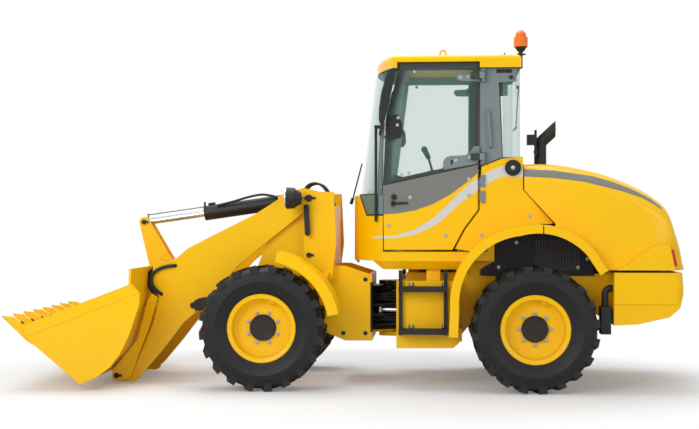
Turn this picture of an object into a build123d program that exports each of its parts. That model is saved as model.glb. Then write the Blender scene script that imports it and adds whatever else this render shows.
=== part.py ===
"""Articulated wheel loader with bucket, at its real size, in millimetres.

+X points forward, +Y to the machine's left and +Z up. The ground is Z = 0, and the
origin lies on it under the middle of the whole length.
"""
from build123d import *
import os
from math import acos, atan2, cos, degrees, hypot, radians, sin

os.makedirs("parts", exist_ok=True)

# Running gear
WHEEL_BASE = 2486
REAR_AXLE_X = -1754
FRONT_AXLE_X = REAR_AXLE_X + WHEEL_BASE
TRACK = 1640
TYRE_R = 575
TYRE_W = 405
LUG_H = 24
LUG_COUNT = 20
LUG_REACH = 60
RIM_FLANGE_R = 316
RIM_HALF_W = 165
RIM_BARREL_R = 288
HUB_R = 120
HUB_FACE = 80
AXLE_Z = TYRE_R
AXLE_TUBE_R = 95
AXLE_HUB_R = 140
DIFF_R = 185

NECK_HALF_W = 165

# Clearances
RUN = 0.3
SIDE_GAP = 8
SEAM = 10

# Plate sizes shared by the frames and the boom
BOOM_OUT = 480
BOOM_T = 40
BOOM_GAP = 14
TOWER_T = 28
TOWER_IN = BOOM_OUT - BOOM_T - BOOM_GAP
TOWER_OUT = BOOM_OUT + BOOM_GAP + TOWER_T
FRAME_HALF_W = 440
PIN_R = 30
BIG_PIN_R = 38

# Pivots, as X and Z
STEER_X = -391
BOOM_PIVOT = (342, 1773)
LIFT_BASE = (342, 1234)
LIFT_EYE = (1458, 749)
LIFT_Y = 330
TILT_BASE = (600, 1752)
TILT_TUBE = (465, 1752)
CRANK_PIVOT = (1849, 1105)
CRANK_TOP = (2027, 1546)
CRANK_LOW_ARM = 545
CRANK_LOW_ANGLE = 210
BUCKET_PIVOT = (2189, 78)
COUPLER_ARM = 317
COUPLER_ARM_ANGLE = 128
STEER_BASE = (-1000, 330)
STEER_EYE = (-321, 205)
STEER_Z = 700
STEER_PIN_R = 20
HOOD_HINGE = (-3104, 1122)
DOOR_HINGE = (-1292, 748)

# Points that follow from the pivots
CRANK_LOW = (
    CRANK_PIVOT[0] + CRANK_LOW_ARM * cos(radians(CRANK_LOW_ANGLE)),
    CRANK_PIVOT[1] + CRANK_LOW_ARM * sin(radians(CRANK_LOW_ANGLE)),
)
COUPLER_PIN = (
    BUCKET_PIVOT[0] + COUPLER_ARM * cos(radians(COUPLER_ARM_ANGLE)),
    BUCKET_PIVOT[1] + COUPLER_ARM * sin(radians(COUPLER_ARM_ANGLE)),
)


def side(y):
    """Plane through the given Y, seen from the machine's left turned to face -Y."""
    return Plane.XZ.offset(-y)


def span(a, b):
    """Length and angle in degrees of the line from a to b in the side view."""
    return hypot(b[0] - a[0], b[1] - a[1]), degrees(atan2(b[1] - a[1], b[0] - a[0]))


def middle(a, b):
    """Point halfway between a and b."""
    return ((a[0] + b[0]) / 2, (a[1] + b[1]) / 2)


def along(a, b, y):
    """Plane at point a and the given Y, facing along the line to b."""
    return Plane(origin=(a[0], y, a[1]), x_dir=(0, 1, 0), z_dir=(b[0] - a[0], 0, b[1] - a[1]))


def plate(points, y, thickness, mode=Mode.ADD):
    """Flat plate of the given side outline, its outer face at y."""
    with BuildSketch(side(y)) as outline:
        with BuildLine():
            Polyline(*points, close=True)
        make_face()
    extrude(outline.sketch, amount=thickness, mode=mode)


def disc(centre, radius, y, thickness, mode=Mode.ADD):
    """Round boss, pin or bore along Y, from y down to y - thickness."""
    with BuildSketch(side(y)) as outline:
        with Locations(centre):
            Circle(radius)
    extrude(outline.sketch, amount=thickness, mode=mode)


def bar(a, b, width, y, thickness):
    """Round-ended bar between two pins in the side view."""
    length, angle = span(a, b)
    with BuildSketch(side(y)) as outline:
        with Locations(middle(a, b)):
            SlotCenterToCenter(length, width, rotation=angle)
    extrude(outline.sketch, amount=thickness)


def taper_bar(a, radius_a, b, radius_b, y, thickness):
    """Bar between two round ends of different size, with straight sides that touch both."""
    length, angle = span(a, b)
    lean = degrees(acos((radius_a - radius_b) / length))
    corners = []
    for centre, radius, turn in ((a, radius_a, lean), (b, radius_b, lean), (b, radius_b, -lean), (a, radius_a, -lean)):
        way = radians(angle + turn)
        corners.append((centre[0] + radius * cos(way), centre[1] + radius * sin(way)))
    plate(corners, y, thickness)
    disc(a, radius_a, y, thickness)
    disc(b, radius_b, y, thickness)


def block(x0, x1, y0, y1, z0, z1, mode=Mode.ADD):
    """Box between two corners."""
    with Locations(((x0 + x1) / 2, (y0 + y1) / 2, (z0 + z1) / 2)):
        Box(x1 - x0, y1 - y0, z1 - z0, mode=mode)


def save(piece, name):
    """Name a finished piece and write it."""
    piece.part.label = name
    export_step(piece.part, f"parts/{name}.step")


# Tyre with two rows of lugs, and rim, both about the wheel's own centre
CARCASS_R = TYRE_R - LUG_H
BEAD_R = RIM_BARREL_R + RUN
SIDEWALL_R = 430
SHOULDER_R = CARCASS_R - 28
HALF_W = TYRE_W / 2
BEAD_HALF_W = RIM_HALF_W - 18 - RUN

with BuildPart() as tyre:
    with BuildSketch(Plane.XY) as tyre_profile:
        with BuildLine():
            # columns: radius, distance from the wheel's middle plane
            Polyline(
                (BEAD_R, -BEAD_HALF_W),
                (BEAD_R + 40, -BEAD_HALF_W - 12),
                (SIDEWALL_R, -HALF_W),
                (SHOULDER_R, -HALF_W + 12),
                (CARCASS_R, -HALF_W + 70),
                (CARCASS_R, HALF_W - 70),
                (SHOULDER_R, HALF_W - 12),
                (SIDEWALL_R, HALF_W),
                (BEAD_R + 40, BEAD_HALF_W + 12),
                (BEAD_R, BEAD_HALF_W),
                close=True,
            )
        make_face()
    revolve(axis=Axis.Y)
    lug_root = SHOULDER_R - 24
    lug_tip = (TYRE_R**2 - LUG_REACH**2) ** 0.5
    for index in range(LUG_COUNT):
        for sign in (1, -1):
            turn = 360 * (index + 0.25 * sign) / LUG_COUNT
            lug_plane = Plane(
                origin=(lug_root * sin(radians(turn)), 0, lug_root * cos(radians(turn))),
                x_dir=(cos(radians(turn)), 0, -sin(radians(turn))),
                z_dir=(sin(radians(turn)), 0, cos(radians(turn))),
            )
            with BuildSketch(lug_plane):
                with BuildLine():
                    Polyline(
                        (-LUG_REACH, sign * 6),
                        (0, sign * 6),
                        (LUG_REACH, sign * (HALF_W - 6)),
                        (-14, sign * (HALF_W - 6)),
                        close=True,
                    )
                make_face()
            extrude(amount=lug_tip - lug_root)

RIM_DISC_Y = 52
with BuildPart() as rim:
    with BuildSketch(Plane.XY):
        with BuildLine():
            # columns: radius, distance outwards from the wheel's middle plane
            Polyline(
                (0, 10),
                (RIM_BARREL_R - 14, RIM_DISC_Y - 16),
                (RIM_BARREL_R - 14, -RIM_HALF_W + 4),
                (RIM_FLANGE_R - 8, -RIM_HALF_W - 8),
                (RIM_FLANGE_R, -RIM_HALF_W),
                (RIM_FLANGE_R, -RIM_HALF_W + 8),
                (RIM_BARREL_R, -RIM_HALF_W + 18),
                (RIM_BARREL_R, RIM_HALF_W - 18),
                (RIM_FLANGE_R, RIM_HALF_W - 8),
                (RIM_FLANGE_R, RIM_HALF_W),
                (RIM_FLANGE_R - 8, RIM_HALF_W + 8),
                (RIM_BARREL_R - 14, RIM_HALF_W - 4),
                (RIM_BARREL_R - 30, RIM_DISC_Y + 24),
                (RIM_BARREL_R - 60, RIM_DISC_Y),
                (HUB_R, RIM_DISC_Y),
                (HUB_R, HUB_FACE - 8),
                (HUB_R - 10, HUB_FACE),
                (0, HUB_FACE),
                close=True,
            )
        make_face()
    revolve(axis=Axis.Y)

WHEELS = [
    # name, axle X, side sign
    ("front_left", FRONT_AXLE_X, 1),
    ("front_right", FRONT_AXLE_X, -1),
    ("rear_left", REAR_AXLE_X, 1),
    ("rear_right", REAR_AXLE_X, -1),
]
for wheel_name, axle_x, sign in WHEELS:
    wheel_centre = (axle_x, sign * TRACK / 2, AXLE_Z)
    with BuildPart() as placed_tyre:
        with Locations(wheel_centre):
            add(tyre.part)
    save(placed_tyre, f"tyre_{wheel_name}")
    with BuildPart() as placed_rim:
        with Locations(Location(wheel_centre, (0, 0, 0 if sign > 0 else 180))):
            add(rim.part)
    save(placed_rim, f"rim_{wheel_name}")

# Axles: a tube with a bulged gear case in the middle and a hub drum in each rim
AXLE_END = TRACK / 2 + 10 - RUN
SADDLE_Y0 = 330
SADDLE_Y1 = 400
SADDLE_TOP = 720
for axle_name, axle_x in (("front_axle", FRONT_AXLE_X), ("rear_axle", REAR_AXLE_X)):
    with BuildPart() as axle:
        with BuildSketch(Plane.XY.offset(AXLE_Z)):
            with BuildLine():
                Polyline(
                    (axle_x, 0),
                    (axle_x + DIFF_R, 0),
                    (axle_x + DIFF_R, 60),
                    (axle_x + AXLE_TUBE_R + 20, 200),
                    (axle_x + AXLE_TUBE_R, 520),
                    (axle_x + AXLE_HUB_R, 610),
                    (axle_x + AXLE_HUB_R, AXLE_END - 25),
                    (axle_x + AXLE_HUB_R - 30, AXLE_END),
                    (axle_x, AXLE_END),
                    close=True,
                )
            make_face()
        revolve(axis=Axis((axle_x, 0, AXLE_Z), (0, 1, 0)))
        mirror(about=Plane.XZ)
        for sign in (1, -1):
            y0, y1 = sorted((sign * SADDLE_Y0, sign * SADDLE_Y1))
            block(axle_x - 110, axle_x + 110, y0, y1, AXLE_Z, SADDLE_TOP)
    save(axle, axle_name)

# Front mudguards' sizes; their brackets stand on the front frame
GUARD_R = 722
GUARD_T = 16
GUARD_LIP = 100
GUARD_Y0 = 640
GUARD_Y1 = 1026
GUARD_BRACKET_X = 175
GUARD_BRACKET_Z = AXLE_Z + ((GUARD_R - GUARD_T / 2) ** 2 - (FRONT_AXLE_X - GUARD_BRACKET_X) ** 2) ** 0.5

# Front frame: a box behind the axle, two inner plates and the tower's outer plates
BOX_REAR = -254
BOX_LOW = 419
BOX_OUTLINE = [
    (241, 1130),
    (6, 1130),
    (BOX_REAR, 1045),
    (BOX_REAR, BOX_LOW),
    (3, BOX_LOW),
    (222, 511),
    (340, 700),
    (340, 1130),
]
INNER_OUTLINE = [
    (110, 1800),
    (392, 1830),
    (560, 1830),
    (650, 1790),
    (650, 1700),
    (560, 1560),
    (740, 1400),
    (830, 1160),
    (920, 900),
    (920, SADDLE_TOP),
    (300, SADDLE_TOP),
    (125, 988),
]
OUTER_OUTLINE = [
    (392, 1803),
    (392, 1167),
    (300, 1010),
    (125, 988),
    (83, 1325),
    (106, 1832),
    (360, 1832),
]
HINGE_LUGS = (
    # lower and upper face of each front-frame hinge lug
    (880, 930),
    (480, 530),
)
HINGE_REACH = 95
with BuildPart() as front_frame:
    for sign in (1, -1):
        plate(BOX_OUTLINE, sign * FRAME_HALF_W if sign > 0 else -FRAME_HALF_W + TOWER_T, TOWER_T)
        plate(INNER_OUTLINE, TOWER_IN if sign > 0 else -TOWER_IN + TOWER_T, TOWER_T)
        plate(OUTER_OUTLINE, TOWER_OUT if sign > 0 else -TOWER_OUT + TOWER_T, TOWER_T)
    # back plate of the box, its floor, the axle saddle and the tower's cross plate
    block(BOX_REAR, BOX_REAR + 40, -FRAME_HALF_W, FRAME_HALF_W, BOX_LOW, 1045)
    block(BOX_REAR, 3, -FRAME_HALF_W, FRAME_HALF_W, BOX_LOW, BOX_LOW + 30)
    for sign in (1, -1):
        y0, y1 = sorted((sign * 200, sign * TOWER_IN))
        block(600, 900, y0, y1, SADDLE_TOP + RUN, SADDLE_TOP + 40)
    block(110, 150, -TOWER_OUT, TOWER_OUT, 1010, 1700)
    # tilt cylinder bracket: a cross tube and two ears round its base eye
    disc(TILT_TUBE, 55, TOWER_IN, 2 * TOWER_IN)
    for sign in (1, -1):
        bar(TILT_TUBE, TILT_BASE, 110, 88 if sign > 0 else -88 + 30, 30)
    disc(TILT_BASE, PIN_R, 92, 184)
    # boom pivot pins and lift cylinder base pins
    for sign in (1, -1):
        start = TOWER_OUT + 6 if sign > 0 else -TOWER_IN + TOWER_T
        disc(BOOM_PIVOT, BIG_PIN_R, start, TOWER_OUT - TOWER_IN + TOWER_T + 6)
        start = TOWER_OUT + 6 if sign > 0 else -LIFT_Y + 60
        disc(LIFT_BASE, PIN_R, start, TOWER_OUT + 6 - LIFT_Y + 60)
    # hinge lugs reach back to the steering pivot
    for low, high in HINGE_LUGS:
        with BuildSketch(Plane.XY.offset(low)):
            with BuildLine():
                Polyline(
                    (BOX_REAR + 10, 200),
                    (STEER_X, HINGE_REACH),
                    (STEER_X, -HINGE_REACH),
                    (BOX_REAR + 10, -200),
                    close=True,
                )
            make_face()
            with Locations((STEER_X, 0)):
                Circle(HINGE_REACH)
        extrude(amount=high - low)
        with Locations((STEER_X, 0, (low + high) / 2)):
            Cylinder(45 + RUN, high - low + 2, mode=Mode.SUBTRACT)
    # forks beside the steering rods' eyes
    for sign in (1, -1):
        for z0, z1 in ((STEER_Z + 33, STEER_Z + 58), (STEER_Z - 58, STEER_Z - 33)):
            y0, y1 = sorted((sign * (STEER_EYE[1] - 36), sign * (STEER_EYE[1] + 36)))
            block(STEER_EYE[0] - 36, BOX_REAR + 1, y0, y1, z0, z1)
    # mudguard brackets
    for sign in (1, -1):
        y0, y1 = sorted((sign * (TOWER_OUT - 10), sign * (GUARD_Y0 - RUN)))
        block(GUARD_BRACKET_X - 25, GUARD_BRACKET_X + 25, y0, y1, GUARD_BRACKET_Z - 2, GUARD_BRACKET_Z + 48)
save(front_frame, "front_frame")

# Front mudguards: an arched sheet over each tyre with a deep outer lip
with BuildPart() as mudguards:
    for y, thickness, depth in ((GUARD_Y1, GUARD_Y1 - GUARD_Y0, GUARD_T), (GUARD_Y1, GUARD_T, GUARD_LIP)):
        with BuildSketch(side(y)):
            with BuildLine():
                CenterArc((FRONT_AXLE_X, AXLE_Z), GUARD_R, 102, 67)
                CenterArc((FRONT_AXLE_X, AXLE_Z), GUARD_R - depth, 102, 67)
                for turn in (102, 169):
                    Line(
                        (FRONT_AXLE_X + GUARD_R * cos(radians(turn)), AXLE_Z + GUARD_R * sin(radians(turn))),
                        (
                            FRONT_AXLE_X + (GUARD_R - depth) * cos(radians(turn)),
                            AXLE_Z + (GUARD_R - depth) * sin(radians(turn)),
                        ),
                    )
            make_face()
        extrude(amount=thickness)
    mirror(about=Plane.XZ)
save(mudguards, "front_mudguards")

# Headlights and indicator paddles on the tower
LAMP = (476, 1770)
LAMP_Y = 700
LAMP_R = 96
with BuildPart() as headlights:
    with BuildSketch(Plane.YZ.offset(LAMP[0] - 20)):
        with Locations((LAMP_Y, LAMP[1])):
            Circle(LAMP_R)
    extrude(amount=75, taper=-4)
    with BuildSketch(Plane.YZ.offset(LAMP[0] - 20)):
        with Locations((LAMP_Y, LAMP[1])):
            Circle(LAMP_R - 8)
    extrude(amount=-60, taper=30)
    block(392 + RUN, LAMP[0] - 40, TOWER_OUT - 22, LAMP_Y - 24, LAMP[1] - 16, LAMP[1] + 16)
    mirror(about=Plane.XZ)
save(headlights, "headlights")

with BuildPart() as paddles:
    bar((362, 1690), (350, 1440), 50, 585, 26)
    bar((362, 1690), (362, 1640), 40, 560, 560 - TOWER_OUT - RUN)
    mirror(about=Plane.XZ)
save(paddles, "indicator_paddles")

# Boom: two cranked arms, a cross tube and the bell crank's ears
BOOM_OUTLINE = [
    (2040, 22),
    (1946, 97),
    (1750, 330),
    (1555, 582),
    (1360, 747),
    (1021, 1133),
    (730, 1374),
    (412, 1625),
    (300, 1690),
    (262, 1773),
    (300, 1850),
    (400, 1870),
    (470, 1850),
    (615, 1777),
    (875, 1614),
    (1263, 1421),
    (1507, 1296),
    (1624, 1199),
    (1731, 1160),
    (1790, 1175),
    (1850, 1130),
    (1850, 960),
    (1792, 826),
    (1850, 570),
    (2030, 140),
]
BOOM_HUB_R = 75
TUBE_BACK = 375
TUBE_AT = (
    CRANK_PIVOT[0] + TUBE_BACK * cos(radians(184)),
    CRANK_PIVOT[1] + TUBE_BACK * sin(radians(184)),
)
TUBE_R = 75
EAR_IN = 96
EAR_T = 35
with BuildPart() as boom:
    for sign in (1, -1):
        plate(BOOM_OUTLINE, BOOM_OUT if sign > 0 else -BOOM_OUT + BOOM_T, BOOM_T)
        start = BOOM_OUT if sign > 0 else -BOOM_OUT + BOOM_T
        bar((2040, 75), BUCKET_PIVOT, 2 * 58, start, BOOM_T)
        disc(BOOM_PIVOT, BIG_PIN_R + RUN, start, BOOM_T, Mode.SUBTRACT)
        disc(BUCKET_PIVOT, PIN_R + RUN, start, BOOM_T, Mode.SUBTRACT)
        # lug and stub pin beside each lift rod's eye
        eye_side = LIFT_Y + 35 + SIDE_GAP
        start = BOOM_OUT - BOOM_T if sign > 0 else -eye_side
        disc(LIFT_EYE, 62, start, BOOM_OUT - BOOM_T - eye_side)
    disc(TUBE_AT, TUBE_R, BOOM_OUT - 1, 2 * BOOM_OUT - 2)
    for sign in (1, -1):
        start = EAR_IN + EAR_T if sign > 0 else -EAR_IN
        bar(TUBE_AT, CRANK_PIVOT, 150, start, EAR_T)
    disc(CRANK_PIVOT, BIG_PIN_R, EAR_IN + EAR_T, 2 * (EAR_IN + EAR_T))
save(boom, "boom")

# Bell crank: two bent plates about a hub, with stub pins beside the rod and link
CRANK_IN = 58
CRANK_T = 28
CRANK_HUB_R = 120
CRANK_END_R = 50
with BuildPart() as crank:
    for sign in (1, -1):
        start = CRANK_IN + CRANK_T if sign > 0 else -CRANK_IN
        taper_bar(CRANK_PIVOT, CRANK_HUB_R, CRANK_TOP, CRANK_END_R, start, CRANK_T)
        taper_bar(CRANK_PIVOT, CRANK_HUB_R, CRANK_LOW, CRANK_END_R, start, CRANK_T)
    disc(CRANK_PIVOT, 80, CRANK_IN + 1, 2 * CRANK_IN + 2)
    disc(CRANK_PIVOT, BIG_PIN_R + RUN, CRANK_IN + CRANK_T, 2 * (CRANK_IN + CRANK_T), Mode.SUBTRACT)
    # pin ends on the plates; the eyes run between them
    for sign in (1, -1):
        for end in (CRANK_TOP, CRANK_LOW):
            start = CRANK_IN + CRANK_T + 14 if sign > 0 else -CRANK_IN - CRANK_T + 1
            disc(end, PIN_R, start, 15)
save(crank, "bell_crank")

# Link from the bell crank's lower pin to the coupler
LINK_HALF_W = CRANK_IN - SIDE_GAP
with BuildPart() as link:
    bar(CRANK_LOW, COUPLER_PIN, 84, LINK_HALF_W, 2 * LINK_HALF_W)
    disc(CRANK_LOW, PIN_R, LINK_HALF_W, 2 * LINK_HALF_W, Mode.SUBTRACT)
    disc(COUPLER_PIN, PIN_R + RUN, LINK_HALF_W, 2 * LINK_HALF_W, Mode.SUBTRACT)
save(link, "tilt_link")


def ram(base, eye, y, bore_end, inside, barrel_r, rod_r, eye_r, eye_half_w, barrel_name, rod_name):
    """Hydraulic cylinder in two pieces: a barrel with its base eye, and a rod with its eye."""
    ys = (y, -y) if y else (0,)
    length, _ = span(base, eye)
    with BuildPart() as barrel:
        for centre in ys:
            with BuildSketch(along(base, eye, centre).offset(eye_r - 12)):
                Circle(eye_half_w - 6)
            extrude(amount=60)
            with BuildSketch(along(base, eye, centre).offset(eye_r + 14)):
                Circle(barrel_r)
            extrude(amount=bore_end - eye_r - 14)
            disc(base, eye_r, centre + eye_half_w, 2 * eye_half_w)
            disc(base, PIN_R + RUN, centre + eye_half_w, 2 * eye_half_w, Mode.SUBTRACT)
            with BuildSketch(along(base, eye, centre).offset(eye_r + 70)):
                Circle(rod_r + RUN)
            extrude(amount=bore_end, mode=Mode.SUBTRACT)
    save(barrel, barrel_name)
    with BuildPart() as rod:
        for centre in ys:
            with BuildSketch(along(base, eye, centre).offset(bore_end - inside)):
                Circle(rod_r)
            extrude(amount=length - bore_end + inside - eye_r + 12)
            disc(eye, eye_r, centre + eye_half_w, 2 * eye_half_w)
            disc(eye, PIN_R, centre + eye_half_w, 2 * eye_half_w, Mode.SUBTRACT)
    save(rod, rod_name)


# The tilt cylinder and the two lift cylinders
TILT_LENGTH, _ = span(TILT_BASE, CRANK_TOP)
LIFT_LENGTH, _ = span(LIFT_BASE, LIFT_EYE)
ram(TILT_BASE, CRANK_TOP, 0, TILT_LENGTH - 600, 120, 72, 32, 52, 50, "tilt_barrel", "tilt_rod")
ram(LIFT_BASE, LIFT_EYE, LIFT_Y, LIFT_LENGTH - 190, 800, 48, 28, 56, 35, "lift_barrels", "lift_rods")

# Quick coupler: two outer ears, two cross tubes and the link's ears
EAR_OUTLINE = [
    (2230, 30),
    (2150, 30),
    (2060, 60),
    (1868, 570),
    (1795, 826),
    (1850, 862),
    (1890, 800),
    (1990, 420),
    (2235, 125),
]
EAR_PLATE_T = 32
COUPLER_OUT = BOOM_OUT + 12 + EAR_PLATE_T
LINK_EAR_IN = LINK_HALF_W + SIDE_GAP
LINK_EAR_T = 30
UPPER_TUBE = (1893, 720)
UPPER_TUBE_R = 26
LOWER_TUBE = (2155, 172)
LOWER_TUBE_R = 30
LINK_EAR_OUTLINE = [
    (1946, 300),
    (1925, 350),
    (1867, 715),
    (1880, 745),
    (1915, 735),
    (2030, 400),
    (2180, 190),
    (2150, 142),
    (1990, 280),
]
with BuildPart() as coupler:
    for sign in (1, -1):
        plate(EAR_OUTLINE, COUPLER_OUT if sign > 0 else -COUPLER_OUT + EAR_PLATE_T, EAR_PLATE_T)
        start = COUPLER_OUT + 4 if sign > 0 else -BOOM_OUT + BOOM_T
        disc(BUCKET_PIVOT, PIN_R, start, COUPLER_OUT - BOOM_OUT + BOOM_T + 4)
        start = LINK_EAR_IN + LINK_EAR_T if sign > 0 else -LINK_EAR_IN
        plate(LINK_EAR_OUTLINE, start, LINK_EAR_T)
        start = LINK_EAR_IN + LINK_EAR_T + 12 if sign > 0 else -LINK_EAR_IN - LINK_EAR_T
        disc(COUPLER_PIN, 45, start, 12)
    disc(COUPLER_PIN, PIN_R, LINK_EAR_IN + LINK_EAR_T, 2 * (LINK_EAR_IN + LINK_EAR_T))
    disc(UPPER_TUBE, UPPER_TUBE_R, COUPLER_OUT - 1, 2 * COUPLER_OUT - 2)
    disc(LOWER_TUBE, LOWER_TUBE_R, COUPLER_OUT - 1, 2 * COUPLER_OUT - 2)
save(coupler, "coupler")

# Bucket: a bent shell, two side plates, a spill guard's gussets and teeth
LIP = (2874, 466)
BUCKET_BACK = [
    LIP,
    (2389, 63),
    (2285, 108),
    (2072, 345),
    (1925, 790),
    (1912, 1119),
]
SIDE_OUTLINE = [
    (2905, 500),
    LIP,
    (2389, 63),
    (2240, 125),
    (2110, 222),
    (2020, 340),
    (1935, 510),
    (1837, 800),
    (1837, 901),
    (1916, 983),
    (2926, 598),
]
BUCKET_HALF_W = 1075
SHELL_T = 22
TOOTH_W = 70
TOOTH_COUNT = 8
TOOTH_PITCH = (2 * BUCKET_HALF_W - TOOTH_W - 22) / (TOOTH_COUNT - 1)
TOOTH_TIP = (3126, 681)
HOOK_Y = 300
HOOK_T = 40
with BuildPart() as bucket:
    with BuildSketch(Plane.XZ):
        with BuildLine():
            FilletPolyline(*BUCKET_BACK, radius=[60, 80, 200, 150])
            offset(amount=SHELL_T, side=Side.RIGHT)
        make_face()
    extrude(amount=BUCKET_HALF_W - 1, both=True)
    for sign in (1, -1):
        plate(SIDE_OUTLINE, BUCKET_HALF_W if sign > 0 else -BUCKET_HALF_W + 25, 25)
    # the spill guard leaves room for the bell crank
    block(1850, 2010, -150, 150, 940, 1200, Mode.SUBTRACT)
    # cutting edge and eight teeth
    for index in range(TOOTH_COUNT):
        y = (index - (TOOTH_COUNT - 1) / 2) * TOOTH_PITCH
        with BuildSketch(side(y + TOOTH_W / 2)):
            with BuildLine():
                Polyline((2800, 404), (2880, 505), TOOTH_TIP, (2890, 455), close=True)
            make_face()
        extrude(amount=TOOTH_W)
    # hooks over the coupler's upper tube
    for y in (-HOOK_Y, HOOK_Y):
        with BuildSketch(side(y + HOOK_T / 2)):
            with BuildLine():
                Polyline((1958, 700), (1893, 662), (1858, 690), (1850, 740), (1890, 772), (1935, 790), close=True)
            make_face()
            with Locations(UPPER_TUBE):
                Circle(UPPER_TUBE_R + RUN, mode=Mode.SUBTRACT)
        extrude(amount=HOOK_T)
save(bucket, "bucket")

# Rear frame: neck with hinge plates, main box, side tanks and the engine's rails
TANK_Y0 = 480
TANK_Y1 = 700
TANK_OUTLINE = [
    (-492, 1000),
    (-492, 375),
    (-1019, 379),
    (-1075, 430),
    (-1075, 1000),
]
RAIL_OUT = 420
RAIL_OUTLINE = [
    (-700, 1000),
    (-700, 480),
    (-1100, 480),
    (-1300, SADDLE_TOP + RUN),
    (-2300, SADDLE_TOP + RUN),
    (-2450, 620),
    (-2640, 620),
    (-2640, 1060),
    (-1500, 1060),
    (-1300, 1000),
]
with BuildPart() as rear_frame:
    for low, high in HINGE_LUGS:
        for z0, z1 in ((low - 46, low - 6), (high + 6, high + 46)):
            with BuildSketch(Plane.XY.offset(z0)):
                with BuildLine():
                    Polyline((-640, NECK_HALF_W), (STEER_X, 90), (STEER_X, -90), (-640, -NECK_HALF_W), close=True)
                make_face()
                with Locations((STEER_X, 0)):
                    Circle(90)
            extrude(amount=z1 - z0)
        with Locations((STEER_X, 0, (low + high) / 2)):
            Cylinder(45, high - low + 92)
    block(-1100, -560, -NECK_HALF_W, NECK_HALF_W, 400, 1000)
    block(-1100, -760, -TANK_Y1 + 10, TANK_Y1 - 10, 440, 560)
    block(-1100, -1060, -TANK_Y0 - 10, TANK_Y0 + 10, 440, 1000)
    # forks for the steering cylinders' base eyes
    for sign in (1, -1):
        for z0, z1 in ((STEER_Z + 33, STEER_Z + 58), (STEER_Z - 58, STEER_Z - 33)):
            y0, y1 = sorted((sign * (STEER_BASE[1] - 34), sign * (STEER_BASE[1] + 34)))
            block(-1061, STEER_BASE[0] + 34, y0, y1, z0, z1)
        with Locations((STEER_BASE[0], sign * STEER_BASE[1], STEER_Z)):
            Cylinder(STEER_PIN_R, 110)
    for sign in (1, -1):
        y = TANK_Y1 if sign > 0 else -TANK_Y0
        plate(TANK_OUTLINE, y, TANK_Y1 - TANK_Y0)
        y = RAIL_OUT if sign > 0 else -RAIL_OUT + 40
        plate(RAIL_OUTLINE, y, 40)
    for sign in (1, -1):
        y0, y1 = sorted((sign * 200, sign * RAIL_OUT))
        block(-1900, -1600, y0, y1, SADDLE_TOP + RUN, SADDLE_TOP + 40)
    block(-2640, -2600, -RAIL_OUT, RAIL_OUT, 620, 1060)
save(rear_frame, "rear_frame")

# Engine: one plain block on the rails
with BuildPart() as engine:
    block(-2560, -1760, -300, 300, SADDLE_TOP + 40 + RUN, 1560)
save(engine, "engine_block")

# Counterweight: a cast block with rounded rear corners
CW_FRONT = -2463
CW_TOP = 1090
CW_HALF_W = 900
CW_CORNER_R = 90
CW_CREASE_Z = 805
CW_STEP = 14
HINGE_EAR_Y = 315
HINGE_EAR_R = 15
HINGE_EAR_T = 36
HOOD_PIN_R = 8
TOW_X = -3000
TOW_LOW = 800
TOW_HIGH = 890
TOW_WALL = 112
TOW_PIN_R = 20
with BuildPart() as counterweight:
    with BuildSketch(side(CW_HALF_W)):
        with BuildLine():
            Polyline(
                (CW_FRONT, CW_TOP),
                (-3072, CW_TOP),
                (-3092, 915),
                (-3050, 770),
                (-2960, 690),
                (-2677, 624),
                (CW_FRONT, 613),
                close=True,
            )
        make_face()
    extrude(amount=2 * CW_HALF_W)
    # rounded in plan, and drawn in below the crease
    with BuildSketch(Plane.XY.offset(600)) as cw_plan:
        with BuildLine():
            FilletPolyline(
                (CW_FRONT + 1, CW_HALF_W),
                (-3092, CW_HALF_W),
                (-3092, -CW_HALF_W),
                (CW_FRONT + 1, -CW_HALF_W),
                radius=CW_CORNER_R,
            )
            Line((CW_FRONT + 1, -CW_HALF_W), (CW_FRONT + 1, CW_HALF_W))
        make_face()
    extrude(cw_plan.sketch, amount=CW_TOP - 590, mode=Mode.INTERSECT)
    for y0, y1 in ((CW_HALF_W - CW_STEP, CW_HALF_W + 1), (-CW_HALF_W - 1, CW_STEP - CW_HALF_W)):
        block(-3100, CW_FRONT + 1, y0, y1, 600, CW_CREASE_Z, Mode.SUBTRACT)
    block(-2640 - RUN, CW_FRONT + 1, -RAIL_OUT - RUN, RAIL_OUT + RUN, 600, CW_TOP + 1, Mode.SUBTRACT)
    # ears that carry the hood's hinge pins
    for y in (-HINGE_EAR_Y, HINGE_EAR_Y):
        bar((-3050, CW_TOP - 5), HOOD_HINGE, 2 * HINGE_EAR_R, y + HINGE_EAR_T / 2, HINGE_EAR_T)
        disc(HOOD_HINGE, HOOD_PIN_R + RUN, y + HINGE_EAR_T / 2, HINGE_EAR_T, Mode.SUBTRACT)
    # tow pin pocket in the middle of the rear face
    block(-3100, TOW_X + 60, -90, 90, TOW_LOW, TOW_HIGH, Mode.SUBTRACT)
    with Locations((TOW_X, 0, TOW_LOW - TOW_WALL / 2)):
        Cylinder(48, TOW_WALL)
    with Locations((TOW_X, 0, (TOW_HIGH + 80 + TOW_LOW - TOW_WALL - 40) / 2)):
        Cylinder(TOW_PIN_R, TOW_HIGH + 80 - TOW_LOW + TOW_WALL + 40, mode=Mode.SUBTRACT)
save(counterweight, "counterweight")

# Cab base: floor, skirts and the curved nose up to the windscreen
CAB_HALF_W = 700
NOSE_R = 971
NOSE_X = -62
CAB_LOW = 1106
DOOR_SILL = 1290
FLOOR_LOW = 1185
NOSE_TOP = 1800
NOSE_SIDE_X = NOSE_X - NOSE_R + (NOSE_R**2 - CAB_HALF_W**2) ** 0.5
CAB_REAR = -1640


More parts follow.
